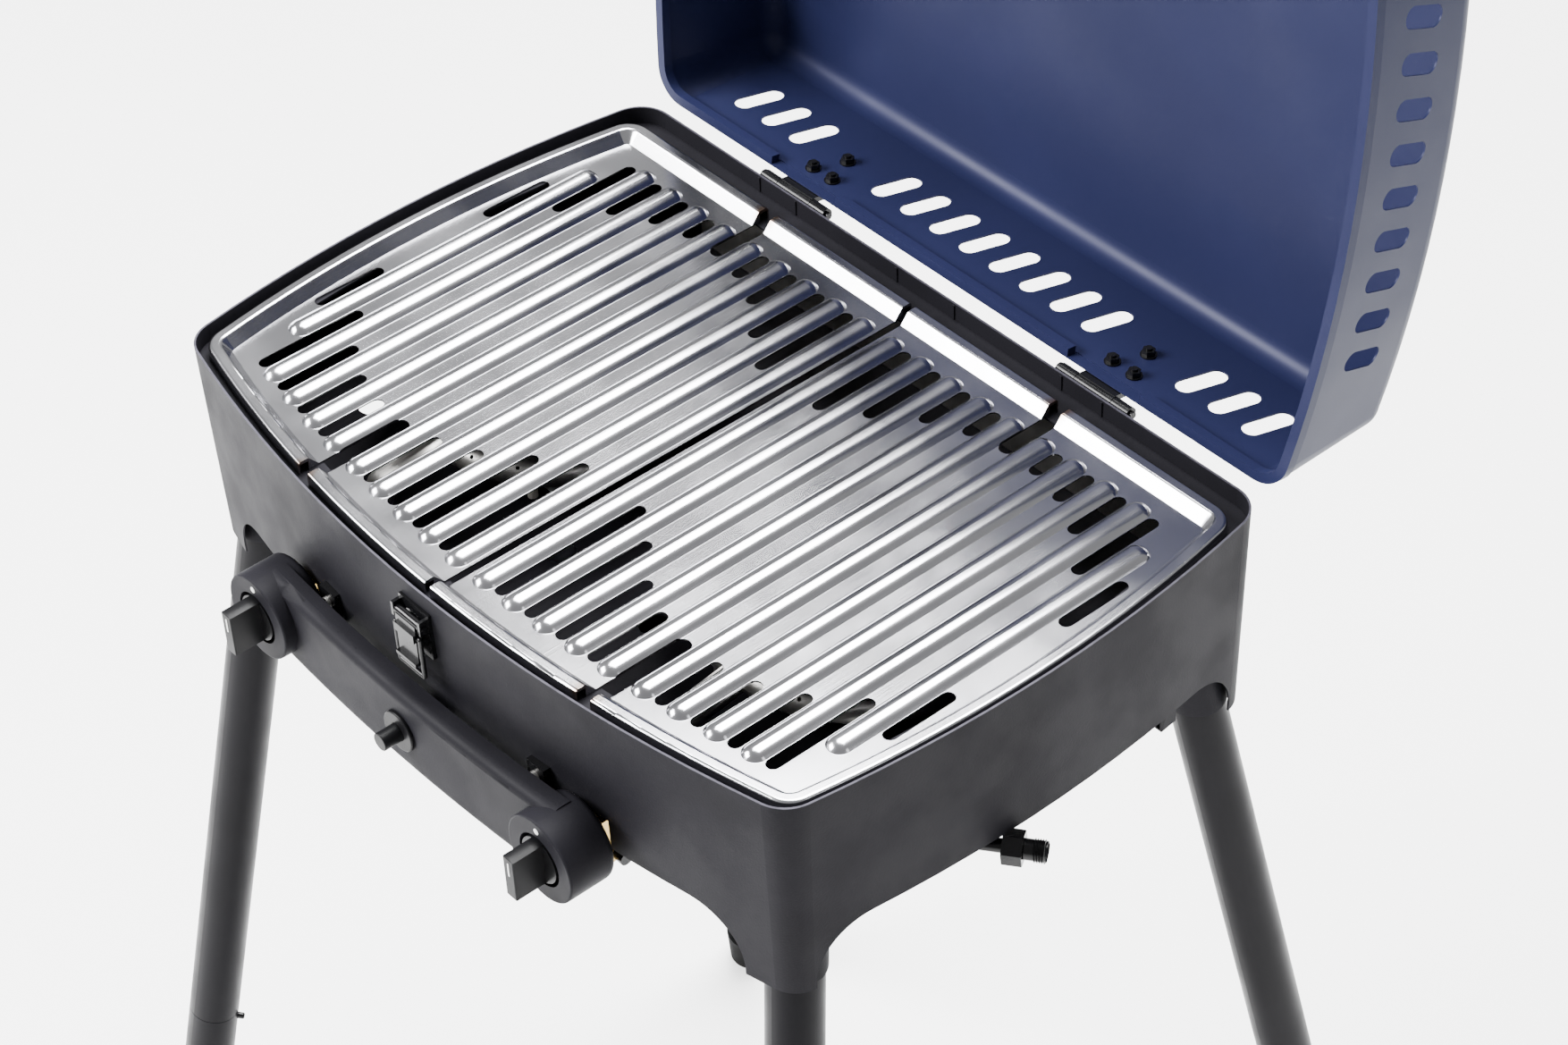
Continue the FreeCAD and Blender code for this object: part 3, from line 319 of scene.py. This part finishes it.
def inner_face_group():
    """A mask for the faces of a shell that look towards its hollow."""
    tree, start, end = new_group("Inner face", [
        ("Vector", "NodeSocketVector", None),
        ("Facing", "NodeSocketVector", None),
        ("Hollow", "NodeSocketVector", None)], [("Mask", "NodeSocketFloat")])
    outwards = add_node(tree, "ShaderNodeVectorMath", operation="SUBTRACT")
    tree.links.new(start.outputs["Vector"], outwards.inputs[0])
    tree.links.new(start.outputs["Hollow"], outwards.inputs[1])
    along = add_node(tree, "ShaderNodeVectorMath", operation="DOT_PRODUCT")
    tree.links.new(outwards.outputs[0], along.inputs[0])
    tree.links.new(start.outputs["Facing"], along.inputs[1])
    tree.links.new(sum_of(tree, "LESS_THAN", along.outputs["Value"], 0.0), end.inputs["Mask"])
    return tree


GROUP_MAKERS = {
    "Colour drift": colour_drift_group, "Patchy gloss": patchy_gloss_group,
    "Coat grain": coat_grain_group, "Drawn lines": drawn_lines_group,
    "Heat halo": heat_halo_group, "Painted edge highlight": painted_edge_highlight_group,
    "Inner face": inner_face_group,
}


def place_group(tree, name, vector, **values):
    """One of the node groups in a material, with its own values."""
    node = add_node(tree, "ShaderNodeGroup")
    node.node_tree = bpy.data.node_groups.get(name) or GROUP_MAKERS[name]()
    tree.links.new(vector, node.inputs["Vector"])
    for label, value in values.items():
        socket = node.inputs[label]
        if isinstance(value, bpy.types.NodeSocket):
            tree.links.new(value, socket)
        elif socket.type == "RGBA":
            socket.default_value = (*value, 1.0)
        else:
            socket.default_value = value
    return node


# ---------------------------------------------------------------- finishes

def shaded(base, factor):
    """A colour made darker or lighter."""
    return tuple(min(1.0, channel * factor) for channel in base)


def start_finish(name):
    """A new material: its tree, its shader and its surface coordinates."""
    material = bpy.data.materials.new(name)
    material.use_nodes = True
    tree = material.node_tree
    tree.nodes.clear()
    shader = add_node(tree, "ShaderNodeBsdfPrincipled")
    output = add_node(tree, "ShaderNodeOutputMaterial")
    tree.links.new(shader.outputs["BSDF"], output.inputs["Surface"])
    surface = add_node(tree, "ShaderNodeTexCoord")
    return material, tree, shader, surface


def raise_grain(tree, shader, height, strength, distance):
    """Fine relief on a finish."""
    bump = add_node(tree, "ShaderNodeBump")
    bump.inputs["Strength"].default_value = strength
    bump.inputs["Distance"].default_value = distance
    tree.links.new(height, bump.inputs["Height"])
    tree.links.new(bump.outputs["Normal"], shader.inputs["Normal"])


def sprayed_finish(name, base, smooth, rough, grain=900.0, relief=0.25, specular=0.5,
                   drift=0.78, patch=14.0):
    """A coated, moulded or cast finish: drifting colour, patchy gloss and fine grain."""
    material, tree, shader, surface = start_finish(name)
    where = surface.outputs["Object"]
    tint = place_group(tree, "Colour drift", where, Colour=base, Drift=shaded(base, drift),
                       Scale=patch)
    gloss = place_group(tree, "Patchy gloss", where, Smooth=smooth, Rough=rough, Scale=patch * 1.7)
    fine = place_group(tree, "Coat grain", where, Scale=grain)
    tree.links.new(tint.outputs["Colour"], shader.inputs["Base Color"])
    tree.links.new(gloss.outputs["Roughness"], shader.inputs["Roughness"])
    shader.inputs["Specular IOR Level"].default_value = specular
    raise_grain(tree, shader, fine.outputs["Height"], relief, 0.0003)
    return material


def box_finish(base):
    """The box's powder coat, with a painted highlight along its upper edge."""
    material = sprayed_finish("box_powder_coat", base, 0.50, 0.60, relief=0.30, specular=0.05)
    tree = material.node_tree
    shader = [n for n in tree.nodes if n.type == "BSDF_PRINCIPLED"][0]
    surface = [n for n in tree.nodes if n.type == "TEX_COORD"][0]
    coat = shader.inputs["Base Color"].links[0].from_socket
    rim_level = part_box("burner_box")[1].z
    rim = place_group(tree, "Painted edge highlight", surface.outputs["Object"], Level=rim_level - 0.0002,
                      Depth=0.0006)
    # Painted highlight: the coat is made five times lighter along the box's upper edge.
    highlit_coat = blend_colours(tree, rim.outputs["Mask"], coat, shaded(base, 5.0))
    tree.links.new(highlit_coat, shader.inputs["Base Color"])
    return material


def lid_finish(inside, sheened_outside):
    """Satin enamel, blue in the hollow, with a painted sheen that makes the outside greyer."""
    material, tree, shader, surface = start_finish("lid_enamel")
    where = surface.outputs["Object"]
    low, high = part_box("lid_shell")
    hollow = (low + high) / 2
    hollow.y -= (high.y - low.y) * 0.30
    hollow.z += (high.z - low.z) * 0.08
    face = place_group(tree, "Inner face", where, Facing=surface.outputs["Normal"], Hollow=hollow)
    blue = place_group(tree, "Colour drift", where, Colour=inside, Drift=shaded(inside, 0.86),
                       Scale=5.0)
    # Painted sheen: the outside faces get a greyer blue that stands for the pale light they catch.
    sheen_grey = place_group(tree, "Colour drift", where, Colour=sheened_outside, Drift=shaded(sheened_outside, 0.88),
                       Scale=5.0)
    both = blend_colours(tree, face.outputs["Mask"], sheen_grey.outputs["Colour"],
                         blue.outputs["Colour"])
    tree.links.new(both, shader.inputs["Base Color"])
    gloss = place_group(tree, "Patchy gloss", where, Smooth=0.40, Rough=0.48, Scale=9.0)
    tree.links.new(gloss.outputs["Roughness"], shader.inputs["Roughness"])
    shader.inputs["Metallic"].default_value = 0.1
    shader.inputs["Specular IOR Level"].default_value = 0.12
    fine = place_group(tree, "Coat grain", where, Scale=1400.0)
    raise_grain(tree, shader, fine.outputs["Height"], 0.16, 0.0002)
    return material


def grate_finish(base, tint):
    """Pressed stainless steel with drawn lines, and heat tint at the edge notches."""
    material, tree, shader, surface = start_finish("grate_stainless")
    where = surface.outputs["Object"]
    clean = place_group(tree, "Colour drift", where, Colour=base, Drift=shaded(base, 0.94),
                        Scale=16.0)
    paint = clean.outputs["Colour"]
    low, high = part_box("grate_right")
    notch_x = low.x + (high.x - low.x) * NOTCH_SHARE
    for depth in (low.y + NOTCH_FRONT, high.y - NOTCH_REAR):
        halo = place_group(tree, "Heat halo", where, Place=(notch_x, depth, high.z),
                           Radius=HALO_RADIUS)
        paint = blend_colours(tree, halo.outputs["Mask"], paint, tint)
    tree.links.new(paint, shader.inputs["Base Color"])
    gloss = place_group(tree, "Patchy gloss", where, Smooth=0.17, Rough=0.22, Scale=20.0)
    tree.links.new(gloss.outputs["Roughness"], shader.inputs["Roughness"])
    shader.inputs["Metallic"].default_value = 1.0
    lines = place_group(tree, "Drawn lines", where, Across=1500.0, Along=18.0)
    raise_grain(tree, shader, lines.outputs["Height"], 0.10, 0.0002)
    return material


def bare_metal(name, base, smooth, rough, across=1200.0, along=40.0, drift=0.86):
    """Uncoated metal with fine drawn lines."""
    material, tree, shader, surface = start_finish(name)
    where = surface.outputs["Object"]
    tint = place_group(tree, "Colour drift", where, Colour=base, Drift=shaded(base, drift),
                       Scale=24.0)
    gloss = place_group(tree, "Patchy gloss", where, Smooth=smooth, Rough=rough, Scale=30.0)
    lines = place_group(tree, "Drawn lines", where, Across=across, Along=along)
    tree.links.new(tint.outputs["Colour"], shader.inputs["Base Color"])
    tree.links.new(gloss.outputs["Roughness"], shader.inputs["Roughness"])
    shader.inputs["Metallic"].default_value = 1.0
    raise_grain(tree, shader, lines.outputs["Height"], 0.12, 0.0002)
    return material


def paint_nodes(material, names):
    """Gives CAD nodes one finish."""
    for name in names:
        slots = NODES[name].material_slots
        if not slots:
            raise RuntimeError(f"{name} has no material slot")
        for slot in slots:
            slot.material = material


def paint_piece(piece, material):
    """Gives a new piece its finish."""
    piece.data.materials.clear()
    piece.data.materials.append(material)


# ---------------------------------------------------------------- modelling helpers

def clear_selection():
    """Nothing selected, in object mode."""
    if bpy.context.mode != "OBJECT":
        bpy.ops.object.mode_set(mode="OBJECT")
    bpy.ops.object.select_all(action="DESELECT")


def name_piece(name):
    """The piece just made, named."""
    piece = bpy.context.object
    piece.name = name
    piece.data.name = name
    return piece


def pick(piece, wanted, kind="FACE"):
    """In edit mode, selects only the faces or vertices whose place passes the test."""
    bpy.ops.object.mode_set(mode="EDIT")
    bpy.ops.mesh.select_mode(type=kind)
    bpy.ops.mesh.select_all(action="DESELECT")
    bpy.ops.object.mode_set(mode="OBJECT")
    mesh = piece.data
    if kind == "FACE":
        for face in mesh.polygons:
            face.select = wanted(face.center, face.normal)
    else:
        for point in mesh.vertices:
            point.select = wanted(point.co, point.normal)
    bpy.ops.object.mode_set(mode="EDIT")


def settle(piece, smooth_angle=30.0):
    """Puts a piece's place into its mesh and smooths its round faces."""
    clear_selection()
    piece.select_set(True)
    bpy.context.view_layer.objects.active = piece
    bpy.ops.object.transform_apply(location=True, rotation=True, scale=True)
    bpy.ops.object.shade_smooth_by_angle(angle=math.radians(smooth_angle))
    return piece


def apply_modifier(piece, kind, **settings):
    """Adds one modifier, sets it and applies it."""
    clear_selection()
    piece.select_set(True)
    bpy.context.view_layer.objects.active = piece
    modifier = piece.modifiers.new(kind.title(), kind)
    for key, value in settings.items():
        setattr(modifier, key, value)
    bpy.ops.object.modifier_apply(modifier=modifier.name)


def join_pieces(pieces, name):
    """Several meshes as one named piece."""
    clear_selection()
    for piece in pieces:
        piece.select_set(True)
    bpy.context.view_layer.objects.active = pieces[0]
    bpy.ops.object.join()
    return name_piece(name)


def facing(direction):
    """The turn that points a primitive's own +Z along a direction."""
    return Vector(direction).to_track_quat("Z", "Y").to_euler()


def reach_along(node, origin, axis):
    """How far a CAD node spans along an axis from an origin."""
    steps = [(point.co - origin).dot(axis) for point in NODES[node].data.vertices]
    return min(steps), max(steps)


# ---------------------------------------------------------------- new pieces

def raised_mark(name, place, direction, width, tall, thick):
    """A small painted mark with rounded ends, lying on a face."""
    clear_selection()
    bpy.ops.mesh.primitive_cylinder_add(vertices=28, radius=width / 2, depth=thick,
                                        location=place, rotation=facing(direction))
    mark = name_piece(name)
    bpy.ops.object.transform_apply(location=False, rotation=True, scale=False)
    extra = max(0.0, tall - width) / 2
    for side in (1, -1):
        pick(mark, lambda co, n, side=side: co.z * side > 1e-6, "VERT")
        bpy.ops.transform.translate(value=(0.0, 0.0, side * extra))
    bpy.ops.object.mode_set(mode="OBJECT")
    apply_modifier(mark, "BEVEL", width=thick * 0.35, segments=2, limit_method="ANGLE",
                   angle_limit=math.radians(40))
    return settle(mark)


def bezel_centres():
    """The middles of the two knob bezels' front faces."""
    low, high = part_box("knob_bezels")
    radius = (high.z - low.z) / 2
    height = (low.z + high.z) / 2
    return ((low.x + radius, low.y, height), (high.x - radius, low.y, height))


def white_marks(sizes, material):
    """A dot over each knob and a line down each grip's front end."""
    for side, (x, y, z) in zip(("left", "right"), bezel_centres()):
        dot = raised_mark(f"bezel_dot_{side}", (x, y - sizes.paint * MARK_SINK, z + DOT_ABOVE_KNOB),
                          (0, -1, 0), sizes.dot, sizes.dot, sizes.paint)
        paint_piece(dot, material)
        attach(dot, "burner_box_body")
        low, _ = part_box(f"knob_{side}")
        place = (x, low.y - sizes.paint * MARK_SINK, z + LINE_ABOVE_KNOB)
        line = raised_mark(f"grip_line_{side}", place, (0, -1, 0), sizes.line_width,
                           sizes.line_length, sizes.paint)
        paint_piece(line, material)
        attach(line, f"knob_{side}")


def thread_ridge(origin, axis, start, end, root, crest, pitch):
    """A helical ridge wound round an axis."""
    clear_selection()
    bpy.ops.mesh.primitive_plane_add(size=1.0)
    ridge = name_piece("thread_ridge")
    half = pitch * 0.5
    bpy.ops.object.mode_set(mode="EDIT")
    bpy.ops.mesh.delete(type="ONLY_FACE")
    bpy.ops.object.mode_set(mode="OBJECT")
    corners = {(-1, -1): (root, -half * 0.92), (-1, 1): (root, half * 0.92),
               (1, -1): (crest, -half * 0.18), (1, 1): (crest, half * 0.18)}
    for point in ridge.data.vertices:
        side = (1 if point.co.x > 0 else -1, 1 if point.co.y > 0 else -1)
        out, along = corners[side]
        point.co = (out, 0.0, along)
    turns = max(1, int((end - start) / pitch))
    apply_modifier(ridge, "SCREW", screw_offset=pitch, iterations=turns, steps=40,
                   render_steps=40, angle=math.tau, axis="Z", use_smooth_shade=False)
    bpy.ops.object.mode_set(mode="EDIT")
    bpy.ops.mesh.select_mode(type="EDGE")
    bpy.ops.mesh.select_all(action="DESELECT")
    bpy.ops.mesh.select_non_manifold()
    bpy.ops.mesh.fill()
    bpy.ops.mesh.select_all(action="SELECT")
    bpy.ops.mesh.normals_make_consistent(inside=False)
    bpy.ops.object.mode_set(mode="OBJECT")
    ridge.location = origin + axis * (start + half)
    ridge.rotation_euler = facing(axis)
    return settle(ridge, 25.0)


def threaded_inlet(sizes, material):
    """The gas inlet's nipple, with a cut thread and an open bore."""
    mount = MOUNTS["gas_inlet"]
    axis = Vector(mount["axis"]).normalized()
    origin = Vector(mount["pos_m"])
    near, tip = reach_along("inlet_nipple", origin, axis)
    crest = mount["dims"]["r_mm"] / 1000.0
    run = mount["dims"]["length_mm"] / 1000.0
    root = crest - sizes.pitch * 0.55
    clear_selection()
    bpy.ops.mesh.primitive_cylinder_add(vertices=48, radius=root, depth=tip - near,
                                        location=origin + axis * (near + tip) / 2,
                                        rotation=facing(axis))
    barrel = name_piece("inlet_barrel")
    settle(barrel)
    pick(barrel, lambda co, n: n.dot(axis) > 0.9)
    bpy.ops.mesh.inset(thickness=root * 0.42, depth=0.0)
    bpy.ops.transform.translate(value=-axis * run * 0.8)
    bpy.ops.object.mode_set(mode="OBJECT")
    apply_modifier(barrel, "BEVEL", width=0.0004, segments=2, limit_method="ANGLE",
                   angle_limit=math.radians(50))
    settle(barrel)
    ridge = thread_ridge(origin, axis, tip - run + 0.0004, tip - 0.0004, root - 0.0002, crest,
                         sizes.pitch)
    nipple = join_pieces([barrel, ridge], "threaded_nipple")
    paint_piece(nipple, material)
    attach(nipple, "burner_box_body")
    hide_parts("inlet_nipple")


def merged_copy(node, name):
    """A copy of a CAD node's mesh as one connected piece."""
    clear_selection()
    piece = bpy.data.objects.new(name, NODES[node].data.copy())
    bpy.context.scene.collection.objects.link(piece)
    piece.select_set(True)
    bpy.context.view_layer.objects.active = piece
    bpy.ops.object.mode_set(mode="EDIT")
    bpy.ops.mesh.select_all(action="SELECT")
    bpy.ops.mesh.remove_doubles(threshold=1e-6)
    bpy.ops.object.mode_set(mode="OBJECT")
    piece.data.name = name
    return piece


def ported_burner(side, sizes, material):
    """A burner with its ring of flame ports drilled."""
    burner = merged_copy(f"burner_{side}", f"ported_burner_{side}")
    low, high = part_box(f"burner_{side}")
    centre = Vector(((low.x + high.x) / 2, high.y - BURNER_REACH, high.z - BURNER_TUBE))
    drills = []
    for step in range(sizes.ports):
        turn = math.tau * step / sizes.ports
        away = Vector((math.cos(turn), math.sin(turn), 0.0))
        middle = centre + away * BURNER_RADIUS
        tilt = (away + Vector((0.0, 0.0, 1.0))).normalized()
        clear_selection()
        bpy.ops.mesh.primitive_cylinder_add(vertices=10, radius=sizes.port / 2,
                                            depth=DRILL_DEPTH,
                                            location=middle + tilt * BURNER_TUBE,
                                            rotation=facing(tilt))
        drills.append(bpy.context.object)
    drill = join_pieces(drills, f"port_drill_{side}")
    settle(drill)
    apply_modifier(burner, "BOOLEAN", object=drill, operation="DIFFERENCE", solver="EXACT")
    bpy.data.objects.remove(drill)
    settle(burner, 30.0)
    paint_piece(burner, material)
    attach(burner, "burner_box_body")
    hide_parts(f"burner_{side}")


# ---------------------------------------------------------------- operators

class GRILL_OT_box_finish(Operator):
    """Coat the burner box, panel, bezels and leg sockets"""
    bl_idname = "grill.box_finish"
    bl_label = "Coat Box"

    def execute(self, context):
        paint_nodes(box_finish(context.scene.grill_colours.box), BOX_PARTS)
        return {"FINISHED"}


class GRILL_OT_leg_finish(Operator):
    """Coat the legs, their buttons and foot caps"""
    bl_idname = "grill.leg_finish"
    bl_label = "Coat Legs"

    def execute(self, context):
        colours = context.scene.grill_colours
        coat = sprayed_finish("leg_powder_coat", colours.legs, 0.30, 0.40, grain=1300.0,
                              relief=0.12, specular=0.06)
        rubber = sprayed_finish("foot_rubber", colours.rubber, 0.62, 0.78, grain=1500.0,
                                relief=0.3, specular=0.05)
        gloss = sprayed_finish("button_gloss_black", colours.knob, 0.12, 0.2, grain=700.0,
                               relief=0.05, specular=0.3)
        for leg in LEGS:
            paint_nodes(coat, (f"leg_upper_{leg}", f"leg_lower_{leg}"))
            paint_nodes(rubber, (f"foot_cap_{leg}",))
            paint_nodes(gloss, (f"leg_button_{leg}",))
        return {"FINISHED"}


class GRILL_OT_lid_finish(Operator):
    """Enamel the lid and its handle"""
    bl_idname = "grill.lid_finish"
    bl_label = "Enamel Lid"

    def execute(self, context):
        colours = context.scene.grill_colours
        paint_nodes(lid_finish(colours.lid_inside, colours.lid_outside_sheen), ("lid_shell",))
        grip = sprayed_finish("handle_grip", colours.knob, 0.42, 0.55, grain=1100.0, relief=0.25,
                              specular=0.08)
        paint_nodes(grip, ("lid_handle",))
        paint_nodes(bare_metal("post_steel", colours.steel, 0.22, 0.34), ("handle_posts",))
        return {"FINISHED"}


class GRILL_OT_grate_finish(Operator):
    """Finish the two grates in stainless steel"""
    bl_idname = "grill.grate_finish"
    bl_label = "Finish Grates"

    def execute(self, context):
        colours = context.scene.grill_colours
        paint_nodes(grate_finish(colours.grate, colours.tint), ("grate_left", "grate_right"))
        return {"FINISHED"}


class GRILL_OT_fitting_finish(Operator):
    """Finish the latch, hinges, brackets, valves, tray and gas pipes"""
    bl_idname = "grill.fitting_finish"
    bl_label = "Finish Fittings"

    def execute(self, context):
        colours = context.scene.grill_colours
        black = sprayed_finish("black_fitting", colours.fittings, 0.16, 0.30, grain=500.0,
                               relief=0.06, specular=0.20)
        steel = bare_metal("plain_steel_sheet", colours.steel, 0.30, 0.45)
        tray = bare_metal("drawn_aluminium", colours.tray, 0.32, 0.48)
        brass = bare_metal("valve_brass", colours.brass, 0.24, 0.38)
        white = sprayed_finish("unglazed_ceramic", colours.ceramic, 0.55, 0.7, grain=800.0)
        paint_nodes(black, DARK_BRACKETS + ("gas_manifold", "inlet_pipe", "inlet_nut"))
        paint_nodes(steel, PLAIN_METAL)
        paint_nodes(tray, ("drip_tray",))
        paint_nodes(brass, ("valve_left", "valve_right"))
        paint_nodes(white, ("electrode_ceramics",))
        return {"FINISHED"}


class GRILL_OT_knob_finish(Operator):
    """Finish the knobs and igniter, and print the white marks"""
    bl_idname = "grill.knob_finish"
    bl_label = "Finish Knobs"

    def execute(self, context):
        colours = context.scene.grill_colours
        plastic = sprayed_finish("knob_plastic", colours.knob, 0.34, 0.46, grain=1600.0,
                                 relief=0.2, specular=0.10)
        paint_nodes(plastic, ("knob_left", "knob_right", "igniter_ring", "igniter_housing",
                              "igniter_button"))
        white = sprayed_finish("mark_paint", colours.marks, 0.45, 0.6, grain=1500.0, relief=0.1,
                               drift=0.94)
        white_marks(context.scene.grill_sizes, white)
        return {"FINISHED"}


class GRILL_OT_threaded_inlet(Operator):
    """Make the gas inlet's threaded nipple"""
    bl_idname = "grill.threaded_inlet"
    bl_label = "Cut Inlet Thread"

    def execute(self, context):
        threaded_inlet(context.scene.grill_sizes, bpy.data.materials["black_fitting"])
        return {"FINISHED"}


class GRILL_OT_ported_burners(Operator):
    """Drill the flame ports round both burners"""
    bl_idname = "grill.ported_burners"
    bl_label = "Drill Burner Ports"

    def execute(self, context):
        steel = bare_metal("burner_steel", context.scene.grill_colours.steel, 0.32, 0.48,
                           drift=0.6)
        for side in ("left", "right"):
            ported_burner(side, context.scene.grill_sizes, steel)
        return {"FINISHED"}


def area_light(name, place, aim, power, width, depth):
    """A soft rectangular light that faces a point."""
    data = bpy.data.lights.new(name, "AREA")
    data.shape = "RECTANGLE"
    data.size = width
    data.size_y = depth
    data.energy = power
    light = bpy.data.objects.new(name, data)
    bpy.context.scene.collection.objects.link(light)
    light.location = place
    light.rotation_euler = (Vector(aim) - Vector(place)).to_track_quat("-Z", "Y").to_euler()
    return light


class GRILL_OT_studio(Operator):
    """Set the floor, lights and camera"""
    bl_idname = "grill.studio"
    bl_label = "Set Studio"

    def execute(self, context):
        studio = context.scene.grill_studio
        clear_selection()
        bpy.ops.mesh.primitive_plane_add(size=40.0, location=(0.0, 0.0, 0.0))
        floor = name_piece("studio_floor")
        paint_piece(floor, sprayed_finish("floor_paper", studio.floor, 0.75, 0.85, grain=60.0,
                                          relief=0.02, drift=0.985, patch=0.6, specular=0.2))
        world = bpy.data.worlds.new("studio_room")
        world.use_nodes = True
        sky = world.node_tree.nodes["Background"]
        sky.inputs["Color"].default_value = (1.0, 1.0, 1.0, 1.0)
        sky.inputs["Strength"].default_value = studio.sky
        context.scene.world = world
        heart = (0.0, 0.0, 0.85)
        area_light("key_light", (-2.2, -2.6, 3.2), heart, studio.key, 2.4, 1.6)
        area_light("top_light", (-0.6, 1.2, 4.2), heart, studio.top, 2.6, 2.0)
        area_light("side_light", (2.6, 0.6, 1.6), heart, studio.side, 0.6, 2.2)
        data = bpy.data.cameras.new("studio_camera")
        data.sensor_width = 36.0
        data.lens = studio.lens
        data.clip_start = 0.05
        data.clip_end = 100.0
        camera = bpy.data.objects.new("studio_camera", data)
        context.scene.collection.objects.link(camera)
        camera.location = studio.place
        camera.rotation_euler = Euler(studio.turn)
        context.scene.camera = camera
        return {"FINISHED"}


PIECE_OPERATORS = (GRILL_OT_box_finish, GRILL_OT_leg_finish, GRILL_OT_lid_finish,
                   GRILL_OT_grate_finish, GRILL_OT_fitting_finish, GRILL_OT_knob_finish,
                   GRILL_OT_threaded_inlet, GRILL_OT_ported_burners, GRILL_OT_studio)


class GRILL_PT_sidebar(Panel):
    """Lists the grill's finishing steps"""
    bl_label = "Camp Grill"
    bl_idname = "GRILL_PT_sidebar"
    bl_space_type = "VIEW_3D"
    bl_region_type = "UI"
    bl_category = "Camp Grill"

    def draw(self, context):
        for operator in PIECE_OPERATORS:
            self.layout.operator(operator.bl_idname)


CLASSES = (GrillColours, GrillSizes, StudioSettings, *PIECE_OPERATORS, GRILL_PT_sidebar)


def register():
    """Adds the settings, operators and panel."""
    for item in CLASSES:
        bpy.utils.register_class(item)
    bpy.types.Scene.grill_colours = PointerProperty(type=GrillColours)
    bpy.types.Scene.grill_sizes = PointerProperty(type=GrillSizes)
    bpy.types.Scene.grill_studio = PointerProperty(type=StudioSettings)


def unregister():
    """Removes the settings, operators and panel."""
    del bpy.types.Scene.grill_studio
    del bpy.types.Scene.grill_sizes
    del bpy.types.Scene.grill_colours
    for item in reversed(CLASSES):
        bpy.utils.unregister_class(item)


def main():
    """Builds every piece and finish in order."""
    register()
    bpy.ops.grill.box_finish()
    bpy.ops.grill.leg_finish()
    bpy.ops.grill.lid_finish()
    bpy.ops.grill.grate_finish()
    bpy.ops.grill.fitting_finish()
    bpy.ops.grill.knob_finish()
    bpy.ops.grill.threaded_inlet()
    bpy.ops.grill.ported_burners()
    bpy.ops.grill.studio()


if __name__ == "__main__":
    main()
